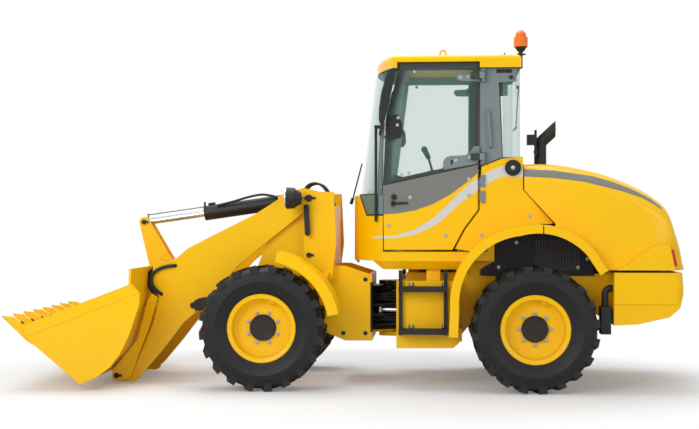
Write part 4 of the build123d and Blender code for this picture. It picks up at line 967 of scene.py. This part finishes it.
@dataclass
class CabFittings:
    """Seals, handles, hinges, mirrors' parts, wipers, cap, aerial and levers of the cab."""

    door_y: float = 0.706
    cap: Point = (-1.567, 2.047)

    def build(self) -> None:
        """Add the fittings, those of the doors on their own bodies."""
        for side in Side:
            self._door(side)
            self._pillar(side)
        self._screen()
        self._rear()
        self._levers()

    def _door(self, side: Side) -> None:
        """Handle, lock, hinge plates, mirror stay, window seal and bolts of one door."""
        body, s, tag = DOOR_BODY[side], side.value, side.name.lower()
        near, far = s * self.door_y, s * (self.door_y + 0.024)
        handle = bmesh.new()
        prism(handle, [(-0.45, 1.708), (-0.6, 1.716), (-0.6, 1.732), (-0.45, 1.728)], near, far)
        box(handle, (-0.475, near, 1.695), (-0.445, far, 1.745))
        rod(handle, (-0.47, near, 1.78), (-0.47, s * (self.door_y + 0.018), 1.78), 0.026, 24)
        piece("door_handle_" + tag, to_mesh(bevelled(handle, 0.004)), body)
        slot = ((-1.013, s * 0.7165, 2.08), (-0.994, s * 0.718, 2.12))
        built("hinge_slot_" + tag, body, boxes=[slot])
        outlines = [
            [(-0.929, 2.03), (-0.925, 2.1), (-0.945, 2.14), (-0.985, 2.158), (-1.135, 2.166), (-1.175, 2.2),
             (-1.21, 2.249), (-1.262, 2.249), (-1.262, 2.13), (-1.235, 2.085)],
            [(-1.06, 2.862), (-1.045, 2.885), (-1.06, 2.915), (-1.262, 2.925), (-1.262, 2.845), (-1.08, 2.85)],
        ]
        plates = [(outline, s * 0.7065, s * 0.716) for outline in outlines]
        built("hinge_plates_" + tag, body, "pillar", plates=plates)
        stay = [(-0.404, 2.53), (-0.505, 2.548), (-0.545, 2.47), (-0.55, 2.37), (-0.53, 2.33), (-0.415, 2.3)]
        built("mirror_stay_" + tag, body, plates=[(stay, s * 0.7066, s * 0.7125)])
        rows = [
            # name, distance from the middle, radius, height, places
            ("door", self.door_y + 0.004, 0.012, 0.008,
             [(-0.42, 1.522), (-0.95, 1.424), (-1.163, 1.943), (-1.163, 1.797), (-0.619, 1.775)]),
            ("pane", 0.69, 0.01, 0.007, [(-0.661, 2.945), (-0.54, 1.991), (-0.606, 2.004)]),
            ("stay", 0.7155, 0.01, 0.007, [(-0.509, 2.514), (-0.502, 2.447)]),
            ("hinge", 0.719, 0.011, 0.008, [(-1.043, 2.116), (-1.167, 2.143), (-1.085, 2.885), (-1.16, 2.89)]),
        ]
        for name, y, radius, height, places in rows:
            bolts(f"{name}_bolts_{tag}", body, at_side(places, side, y), radius, height)
        seal = bmesh.new()
        outline = [(-0.415, 1.925), (-0.44, 2.534), (-0.562, 2.978), (-1.21, 2.978), (-1.205, 2.095)]
        self._ring(seal, outline, 0.022, s * 0.7066, s * 0.7095)
        piece("window_seal_" + tag, to_mesh(seal), body, "seal")

    def _ring(self, form: bmesh.types.BMesh, outline: Sequence[Point], width: float, y0: float, y1: float) -> None:
        """Flat frame whose outer edge lies outside the outline by half the width."""
        middle = Vector((sum(p[0] for p in outline) / len(outline), sum(p[1] for p in outline) / len(outline)))
        rows = []
        for shift in (width / 2, -width / 2):
            ring = []
            for i, p in enumerate(outline):
                a, b, c = Vector(outline[i - 1]), Vector(p), Vector(outline[(i + 1) % len(outline)])
                n1 = Vector(((b - a).y, -(b - a).x)).normalized()
                n2 = Vector(((c - b).y, -(c - b).x)).normalized()
                if n1.dot(b - middle) < 0:
                    n1, n2 = -n1, -n2
                ring.append(b + (n1 + n2) / (1 + n1.dot(n2)) * shift)
            rows.append(ring)
        low, high = sorted((y0, y1))
        out_low, out_high, in_low, in_high = (
            [form.verts.new((p.x, y, p.y)) for p in ring] for ring in rows for y in (low, high)
        )
        for i in range(len(outline)):
            j = (i + 1) % len(outline)
            for a, b in ((out_low, in_low), (in_low, in_high), (in_high, out_high), (out_high, out_low)):
                form.faces.new((a[i], a[j], b[j], b[i]))

    def _pillar(self, side: Side) -> None:
        """Grab bar, header vents, panel hinges, screen pillar and mirror housing of one side."""
        s, tag = side.value, side.name.lower()
        bar = [(-1.338, 0.694, 2.577), (-1.34, 0.73, 2.575), (-1.342, 0.735, 2.54), (-1.36, 0.735, 2.27),
               (-1.365, 0.73, 2.24), (-1.366, 0.694, 2.238)]
        piece("pillar_bar_" + tag, tube([(x, s * y, z) for x, y, z in bar], 0.011), Body.REAR, "pillar")
        vents = [((x - 0.035, s * 0.6953, 2.926), (x + 0.035, s * 0.698, 2.959)) for x in (-1.452, -1.526)]
        plug = ((-1.551, s * 0.6953, 2.885), (-1.551, s * 0.718, 2.885), 0.017, 20)
        built("header_vents_" + tag, boxes=vents, rods=[plug])
        hinges = bmesh.new()
        for z in (1.926, 1.778):
            box(hinges, (-1.312, s * 0.7125, z - 0.055), (-1.272, s * 0.73, z + 0.055))
            rod(hinges, (-1.27, s * 0.72, z - 0.03), (-1.27, s * 0.72, z + 0.03), 0.011, 12)
        piece("panel_hinges_" + tag, to_mesh(bevelled(hinges, 0.003)), Body.REAR, "pillar")
        cover = [(-0.36, 1.8005), (-0.358, 1.95), (-0.372, 2.32), (-0.385, 2.47), (-0.35, 2.47), (-0.335, 2.32),
                 (-0.316, 1.95), (-0.316, 1.8005)]
        built("screen_pillar_" + tag, Body.REAR, "pillar", plates=[(cover, s * 0.6455, s * 0.654)])
        housing = [(-0.48, 2.945), (-0.474, 2.9), (-0.44, 2.75), (-0.408, 2.62), (-0.39, 2.52), (-0.38, 2.47),
                   (-0.345, 2.45), (-0.332, 2.5), (-0.335, 2.6), (-0.355, 2.74), (-0.4, 2.9), (-0.452, 2.955)]
        built("mirror_housing_" + tag, plates=[(housing, s * 0.728, s * 0.792)])

    def _screen(self) -> None:
        """Wiper arm in front of the screen, and the black strip where it meets the nose."""
        built("wiper_arm", rods=[
            ((-0.04, 0.12, 1.735), (-0.135, 0.05, 2.12), 0.007, 10),
            ((-0.03, 0.12, 1.72), (-0.05, 0.12, 1.78), 0.016, 12),
        ], smooth=True)
        half, steps = 0.645, 12
        across = [-half + 2 * half * i / steps for i in range(steps + 1)]
        points = [(-0.118 - 0.238 * (y / half) ** 2, y, 1.806) for y in across]
        piece("screen_seal", tube(points, 0.012, 3), Body.REAR, "seal")

    def _rear(self) -> None:
        """Rear wiper, filler cap, pillar seals, beacon foot and aerial."""
        built("rear_wiper", boxes=[((-1.66, -0.52, 2.472), (-1.6425, -0.08, 2.486))], rods=[
            ((-1.6425, 0.05, 2.86), (-1.67, 0.05, 2.86), 0.017, 20),
            ((-1.664, 0.05, 2.86), (-1.66, -0.3, 2.48), 0.006, 10),
        ])
        x, z = self.cap
        ribs = []
        for i in range(24):
            turn = radians(15 * i)
            a, b = x + 0.067 * cos(turn), z + 0.067 * sin(turn)
            ribs.append(((a, 0.726, b), (a, 0.739, b), 0.006, 8))
        ribs.append(((x, 0.733, z), (x, 0.739, z), 0.05, 32))
        built("filler_cap_ribs", boxes=[((x - 0.013, 0.734, z), (x + 0.013, 0.745, z + 0.068))], rods=ribs)
        seal = [(-1.432, 2.839), (-1.452, 2.839), (-1.478, 2.144), (-1.452, 2.144)]
        boxes = [((-1.296, 0.62, 1.99), (-1.256, 0.65, 2.13))]
        built("pillar_seals", plates=[(seal, 0.6505, 0.658)], boxes=boxes, both=True)
        built("beacon_foot", rods=[
            ((-1.654, 0.5, 3.148), (-1.654, 0.5, 3.187), 0.03, 32, 0.056),
            ((-1.7, 0.5, 3.12), (-1.62, 0.5, 3.125), 0.008, 12),
            ((-1.654, 0.5, 3.11), (-1.654, 0.5, 3.15), 0.02, 20),
        ])
        built("aerial_base", rods=[
            ((-1.517, 0.4, 3.09), (-1.517, 0.4, 3.115), 0.026, 20, 0.016),
            ((-1.517, 0.4, 3.11), (-1.507, 0.4, 3.15), 0.006, 10),
        ])
        lock = ((x, 0.7385, z), (x, 0.75, z), 0.023, 24, 0.019)
        built("filler_cap_lock", Body.REAR, "zinc", rods=[lock], smooth=True)

    def _levers(self) -> None:
        """Joystick on its boot over the console, and the steering wheel's hub."""
        y = -0.425
        folds = []
        for i in range(6):
            x, z = 0.008 * i, 1.8 + 0.045 * i
            folds.append(((x - 0.86, y, z), (x - 0.852, y, z + 0.046), 0.075 - 0.006 * i, 24, 0.062 - 0.006 * i))
        built("joystick_boot", rods=folds)
        lever = bmesh.new()
        rod(lever, (-0.825, y, 2.06), (-0.775, y, 2.23), 0.012, 16)
        rod(lever, (-0.79, y, 2.19), (-0.745, y, 2.28), 0.024, 20, 0.03)
        matrix = Matrix.Translation((-0.742, y, 2.284))
        bmesh.ops.create_uvsphere(lever, u_segments=20, v_segments=12, radius=0.032, matrix=matrix)
        piece("joystick", to_mesh(lever, True))
        centre, lean = Vector((-0.548, 0.0, 1.962)), Vector((-0.342, 0.0, 0.94))
        hub = (centre - lean * 0.02, centre + lean * 0.022, 0.05, 28, 0.038)
        built("steering_hub", rods=[hub], smooth=True)


@dataclass
class Seat:
    """Driver's seat: two padded cushions on a bellows."""

    cushion: tuple[Point, Point] = ((-1.13, -0.24, 1.64), (-0.66, 0.24, 1.735))
    back: tuple[Point, Point] = ((-1.235, -0.22, 1.72), (-1.115, 0.22, 2.135))
    lean: float = 0.03

    def build(self) -> None:
        """Add the cushions and the bellows in place of the plain solid."""
        parts = [self._pad("seat_cushion", *self.cushion, 0.0), self._pad("seat_back", *self.back, self.lean)]
        folds = []
        for i in range(7):
            inset, z = 0.012 * (i % 2), 1.272 + 0.052 * i
            folds.append(((-1.07 + inset, -0.15, z), (-0.75 - inset, 0.15, z + 0.05)))
        built("seat_bellows", boxes=folds)
        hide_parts("seat")

    def _pad(self, name: str, low: Point, high: Point, lean: float) -> bpy.types.Object:
        """One crowned cushion with sewn channels."""
        form = bmesh.new()
        bmesh.ops.create_cube(form, size=1.0)
        bmesh.ops.subdivide_edges(form, edges=form.edges[:], cuts=9, use_grid_fill=True)
        size = Vector(high) - Vector(low)
        middle = (Vector(high) + Vector(low)) / 2
        thin = min(range(3), key=lambda k: size[k])
        for vert in form.verts:
            u = vert.co * 2
            wide = [u[k] for k in range(3) if k != thin]
            crown = (1 - wide[0] ** 4) * (1 - wide[1] ** 4)
            channel = 0.12 * max(0.0, 1 - abs(abs(wide[1]) - 0.45) / 0.08) if crown > 0 else 0.0
            u[thin] *= 0.55 + 0.45 * crown - channel
            for k in range(3):
                if k != thin:
                    u[k] *= 0.97 + 0.03 * (1 - u[thin] ** 2)
            vert.co = middle + Vector(u[k] * size[k] / 2 for k in range(3))
            vert.co.x -= lean * (vert.co.z - low[2]) / size.z
        obj = piece(name, to_mesh(form, True), Body.REAR, "cloth")
        modifier = obj.modifiers.new("soft", "SUBSURF")
        modifier.levels = modifier.render_levels = 1
        return obj


@dataclass
class Hydraulics:
    """Hoses and pipes that show on the front of the machine."""

    def build(self) -> None:
        """Add each hose on the body that holds both its ends."""
        tower = [(0.42, 1.8), (0.43, 1.86), (0.385, 1.915), (0.32, 1.93), (0.26, 1.91), (0.215, 1.86), (0.15, 1.75),
                 (0.13, 1.6)]
        for i, y in enumerate((0.08, 0.14, -0.08, -0.14)):
            hose(f"tower_hose_{i}", Body.FRONT, tower, y, 0.011)
        top = [(1.3, 1.71), (1.184, 1.735), (1.05, 1.775), (0.984, 1.795), (0.86, 1.82), (0.78, 1.81), (0.7, 1.79),
               (0.67, 1.77)]
        hose("tilt_hose", Body.TILT_BARREL, top, 0.06, 0.012)
        built("tilt_guide_block", Body.TILT_BARREL, "black_paint", rods=[
            ((1.4, 0.0, 1.722), (1.33, 0.0, 1.732), 0.012, 10),
            ((1.43, 0.03, 1.745), (1.43, 0.03, 1.69), 0.01, 10),
        ], smooth=True)
        built("level_indicator_rod", Body.TILT_ROD, "steel", rods=[
            ((2.005, 0.03, 1.615), (1.405, 0.03, 1.7), 0.005, 8),
            ((2.0, 0.03, 1.63), (2.0, 0.03, 1.56), 0.008, 8),
        ], smooth=True)
        loop = [(1.63, 0.475, 1.128), (1.64, 0.5, 1.131), (1.73, 0.503, 1.12), (1.825, 0.503, 1.079),
                (1.87, 0.503, 1.006), (1.846, 0.503, 0.923), (1.775, 0.5, 0.861), (1.765, 0.475, 0.855)]
        piece("boom_hose_loop", tube(loop, 0.017), Body.BOOM, "hose")
        guard = [(1.455, 0.785), (1.41, 0.815), (1.335, 0.83), (1.325, 0.74), (1.363, 0.7), (1.44, 0.7)]
        built("rod_eye_guards", Body.BOOM, plates=[(guard, 0.4805, 0.498)], both=True)
        coupler = [(1.72, 1.13), (1.79, 1.135), (1.87, 1.1), (1.925, 1.03), (1.915, 0.94), (1.87, 0.86), (1.82, 0.82)]
        for i, y in enumerate((0.36, 0.4)):
            hose(f"coupler_hose_{i}", Body.BOOM, coupler, y, 0.014)


@dataclass
class Ironwork:
    """Pin ends, bolts, step treads, grille, louvres, hitch hoses, webs and the bucket's fittings."""

    hitch_hoses: int = 40
    teeth: int = 8
    tooth_pitch: float = 0.294
    louvre_heights: tuple[float, ...] = tuple(1.27 + 0.027 * i for i in range(12))

    def build(self) -> None:
        """Add the small ironwork."""
        self._pins()
        for side in Side:
            self._treads(side)
            self._grille(side)
            self._bolts(side)
        self._louvres()
        self._hitch()
        self._frame()
        self._bucket()

    def _pins(self) -> None:
        """Dark pin ends with their keepers."""
        rows = [
            # name, body, centre, distance from the middle, radius
            ("boom_pins", Body.FRONT, (0.342, 1.773), 0.528, 0.034),
            ("lift_base_pins", Body.FRONT, (0.342, 1.234), 0.528, 0.024),
            ("crank_top_pins", Body.CRANK, (2.027, 1.546), 0.1, 0.024),
            ("coupler_pins", Body.BUCKET, (2.189, 0.078), 0.528, 0.026),
            ("lift_eye_pins", Body.BOOM, (1.458, 0.749), 0.48, 0.03),
        ]
        for name, body, (x, z), y, radius in rows:
            keeper = ((x - radius * 1.9, y, z - 0.011), (x + radius * 0.4, y + 0.008, z + 0.011))
            ends = [
                ((x, y, z), (x, y + 0.012, z), radius, 28),
                ((x, y + 0.01, z), (x, y + 0.019, z), radius * 0.45, 6),
            ]
            built(name, body, "black_paint", boxes=[keeper], rods=ends, both=True)

    def _treads(self, side: Side) -> None:
        """Toothed grips on the step treads of one side."""
        for i, z in enumerate((0.95, 0.56)):
            form = bmesh.new()
            prism(form, [(-0.95, z), (-0.938, z), (-0.944, z + 0.008)], side.value * 0.712, side.value * 0.845)
            mesh = row(to_mesh(form), 25, (0.0165, 0, 0), "black_paint")
            piece(f"step_grip_{side.name.lower()}_{i}", mesh, Body.REAR, "black_paint")

    def _grille(self, side: Side) -> None:
        """Perforated field on the black panel in the rear arch of one side."""
        form = bmesh.new()
        bar = [(-2.21, 1.09), (-2.197, 1.09), (-2.182, 1.106), (-2.195, 1.106)]
        prism(form, bar, side.value * 0.4325, side.value * 0.436)
        column = row(to_mesh(form), 14, (0.0, 0.0, 0.021), "grille")
        mesh = row(column, 15, (0.028, 0, 0), "grille")
        piece("arch_grille_" + side.name.lower(), mesh, Body.REAR, "grille")

    def _louvres(self) -> None:
        """Slats and posts of the radiator opening on the hood's rear face."""
        rows = [("rear_louvres", (0.0,), (0.014, 0.86, 0.011)), ("louvre_posts", (-0.44, 0.44), (0.02, 0.02, 0.03))]
        for name, across, size in rows:
            places = [cast("hood", (-4.0, y, z), (1, 0, 0)) for y in across for z in self.louvre_heights]
            piece(name, slats(places, size, "black_plastic"), Body.HOOD)

    def _bolts(self, side: Side) -> None:
        """Bolts on the panels, arches, steps and front frame of one side, and the steps' clips."""
        s, tag = side.value, side.name.lower()
        panel = on_side("side_panels", [(-1.722, 1.6), (-1.278, 1.427)], side)
        arch = on_side("arch_panels", [(-1.45, 1.12), (-1.617, 1.353), (-2.192, 1.12), (-2.28, 1.2)], side)
        step = at_side([(x, z) for x in (-0.631, -0.936) for z in (0.578, 0.968)], side, 0.717)
        front = on_side("front_frame", [(-0.19, 1.0), (-0.19, 0.49), (0.02, 0.49)], side)
        clips = [
            ((x - 0.022, s * 0.7003, z), (x + 0.022, s * 0.714, z + 0.034))
            for x in (-0.631, -0.936) for z in (0.56, 0.95)
        ]
        built("step_clips_" + tag, Body.REAR, "black_paint", boxes=clips)
        bolts("panel_bolts_" + tag, Body.REAR, panel, 0.012, 0.008)
        bolts("arch_bolts_" + tag, Body.REAR, arch, 0.012, 0.008)
        bolts("step_bolts_" + tag, Body.REAR, step, 0.011, 0.008)
        bolts("frame_bolts_" + tag, Body.FRONT, front, 0.014, 0.01, "black_paint")

    def _hitch(self) -> None:
        """Hoses across the steering joint, in rows of four, as one piece that no body carries."""
        form = bmesh.new()
        for i in range(self.hitch_hoses):
            y, z = (-0.14, -0.07, 0.07, 0.14)[i % 4], 0.558 + 0.0325 * (i // 4)
            sag = 0.008 * ((i * 5) % 3 - 1)
            ends = [(-0.476, y, z), (-0.44, y, z)], [(-0.28, y, z), (-0.25, y, z)]
            mesh = tube([*ends[0], (-0.39, y * 1.1, z + sag), (-0.33, y * 1.1, z + sag), *ends[1]], 0.0145, 2)
            form.from_mesh(mesh)
            bpy.data.meshes.remove(mesh)
        hoses = piece("hitch_hoses", to_mesh(form, True), None, "hose")
        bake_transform(hoses)

    def _frame(self) -> None:
        """Webs on the rear frame and the mats under the doors."""
        outlines = [
            [(-1.168, 0.999), (-1.168, 1.107), (-1.205, 1.171), (-1.421, 1.181), (-1.421, 0.999)],
            [(-0.58, 0.96), (-0.58, 1.07), (-1.166, 1.07), (-1.166, 0.96)],
        ]
        webs = [(outline, 0.403, 0.415) for outline in outlines]
        built("frame_webs", Body.REAR, "yellow", plates=webs, both=True)
        built("floor_mats", boxes=[((-1.16, 0.385, 1.05), (-0.7, 0.4, 1.12))], both=True)

    def _bucket(self) -> None:
        """Doubler strips on the bucket's sides, the teeth's adapters and their bolts."""
        strip = [(2.832, 0.519), (2.9, 0.505), (2.922, 0.594), (1.918, 0.976), (1.846, 0.9)]
        built("bucket_doublers", Body.BUCKET, "yellow", plates=[(strip, 1.0752, 1.0795)], both=True)
        tooth = bmesh.new()
        outline = [(3.118, 0.6785), (3.03, 0.675), (2.947, 0.625), (2.893, 0.552), (2.884, 0.506), (2.95, 0.553),
                   (3.05, 0.624)]
        prism(tooth, outline, -1.0585, -0.9995)
        mesh = row(to_mesh(tooth), self.teeth, (0.0, self.tooth_pitch, 0.0), "yellow")
        piece("tooth_adapters", mesh, Body.BUCKET, "yellow")
        middle = (self.teeth - 1) / 2
        rows = [((2.944, (i - middle) * self.tooth_pitch, 0.624), (-0.5, 0.0, 0.866)) for i in range(self.teeth)]
        bolts("tooth_bolts", Body.BUCKET, rows, 0.013, 0.01, "black_paint")


@dataclass
class Studio:
    """Camera from the photograph's fit, pale floor and soft lights."""

    eye: Point = (-0.841, 12.188, 1.575)
    yaw: float = 3.91
    pitch: float = 0.21
    focal_px: float = 1236.4
    width_px: float = 699.0
    sensor_mm: float = 36.0
    floor_half: float = 60.0
    floor_grey: float = 0.72
    floor_lift: float = 0.15
    shadow_x: float = 4.2
    shadow_y: float = 3.0
    room: tuple[Colour, float] = ((0.93, 0.96, 1.0), 0.5)
    backdrop: tuple[Colour, float] = ((1.0, 1.0, 1.0), 1.0)

    def build(self) -> None:
        """Set the stage."""
        self._camera()
        self._floor()
        self._world()
        self._lights()
        bpy.context.scene.view_settings.view_transform = "Standard"

    def _camera(self) -> None:
        """Camera at the photograph's place."""
        data = bpy.data.cameras.new("photo_camera")
        data.sensor_width = self.sensor_mm
        data.lens = self.focal_px / self.width_px * data.sensor_width
        data.clip_end = 200.0
        camera = bpy.data.objects.new("photo_camera", data)
        bpy.context.scene.collection.objects.link(camera)
        yaw, pitch = radians(self.yaw), radians(self.pitch)
        ahead = Vector((sin(yaw) * cos(pitch), -cos(yaw) * cos(pitch), sin(pitch)))
        right = Vector((-cos(yaw), -sin(yaw), 0.0))
        up = right.cross(ahead)
        turn = Matrix((right, up, -ahead)).transposed().to_4x4()
        camera.matrix_world = Matrix.Translation(Vector(self.eye)) @ turn
        bpy.context.scene.camera = camera

    def _floor(self) -> None:
        """Pale floor that keeps the shadow, and reads white to the camera elsewhere."""
        mesh = bpy.data.meshes.new("floor")
        half = self.floor_half
        mesh.from_pydata([(-half, -half, 0), (half, -half, 0), (half, half, 0), (-half, half, 0)], [], [(0, 1, 2, 3)])
        floor = bpy.data.objects.new("floor", mesh)
        bpy.context.scene.collection.objects.link(floor)
        graph = Graph("pale_floor")
        x, y, _ = graph.place()
        white = (1.0, 1.0, 1.0)
        diffuse = graph.node("ShaderNodeBsdfDiffuse", None, {"Color": (self.floor_grey,) * 3})
        lift = graph.node("ShaderNodeEmission", None, {"Color": white, "Strength": self.floor_lift})
        plain = graph.node("ShaderNodeEmission", None, {"Color": white, "Strength": 1.0})
        raised = graph.node("ShaderNodeAddShader", None, {0: diffuse.outputs[0], 1: lift.outputs[0]})
        seen = Signal(graph, graph.node("ShaderNodeLightPath").outputs["Is Camera Ray"])
        across, along = x / self.shadow_x, y / self.shadow_y
        far = (across * across + along * along).step(0.45, 1.1) * seen
        near = graph.node("ShaderNodeMixShader", None, {0: seen, 1: diffuse.outputs[0], 2: raised.outputs[0]})
        mixed = graph.node("ShaderNodeMixShader", None, {0: far, 1: near.outputs[0], 2: plain.outputs[0]})
        graph.node("ShaderNodeOutputMaterial", None, {0: mixed.outputs[0]})
        mesh.materials.append(graph.material)

    def _world(self) -> None:
        """Soft where it lights, white where it is seen, mirrored or seen through glass."""
        world = bpy.data.worlds.new("studio")
        bpy.context.scene.world = world
        world.use_nodes = True
        tree = world.node_tree
        tree.nodes.clear()
        path = tree.nodes.new("ShaderNodeLightPath")
        seen = path.outputs["Is Camera Ray"]
        for label in ("Is Glossy Ray", "Is Transmission Ray"):
            either = tree.nodes.new("ShaderNodeMath")
            either.operation = "MAXIMUM"
            tree.links.new(seen, either.inputs[0])
            tree.links.new(path.outputs[label], either.inputs[1])
            seen = either.outputs[0]
        mix = tree.nodes.new("ShaderNodeMixShader")
        tree.links.new(seen, mix.inputs[0])
        for place, (colour, strength) in enumerate((self.room, self.backdrop), 1):
            shade = tree.nodes.new("ShaderNodeBackground")
            shade.inputs[0].default_value = (*colour, 1.0)
            shade.inputs[1].default_value = strength
            tree.links.new(shade.outputs[0], mix.inputs[place])
        out = tree.nodes.new("ShaderNodeOutputWorld")
        tree.links.new(mix.outputs[0], out.inputs[0])

    def _lights(self) -> None:
        """Large soft lamps above and on the camera's side."""
        rows = [
            # name, place, aim, size, power
            ("top_lamp", (0.3, -0.8, 8.5), (0.0, 0.0, 1.0), 6.0, 430.0),
            ("key_lamp", (4.5, 8.5, 5.0), (0.0, 0.5, 1.2), 5.0, 400.0),
            ("fill_lamp", (-6.5, 7.5, 3.2), (-1.0, 0.5, 1.0), 4.0, 110.0),
        ]
        for name, place, aim, size, power in rows:
            data = bpy.data.lights.new(name, "AREA")
            data.shape = "SQUARE"
            data.size = size
            data.energy = power
            lamp = bpy.data.objects.new(name, data)
            lamp.location = place
            lamp.rotation_euler = (Vector(aim) - Vector(place)).to_track_quat("-Z", "Y").to_euler()
            bpy.context.scene.collection.objects.link(lamp)


def main() -> None:
    """Dress the machine and set the stage."""
    logging.basicConfig(level=logging.INFO, format="%(name)s %(message)s")
    dress_nodes()
    for assembly in (Wheels(), Lamps(), CabFittings(), Seat(), Hydraulics(), Ironwork(), Studio()):
        LOG.info("building %s", type(assembly).__name__)
        assembly.build()


if __name__ == "__main__":
    main()
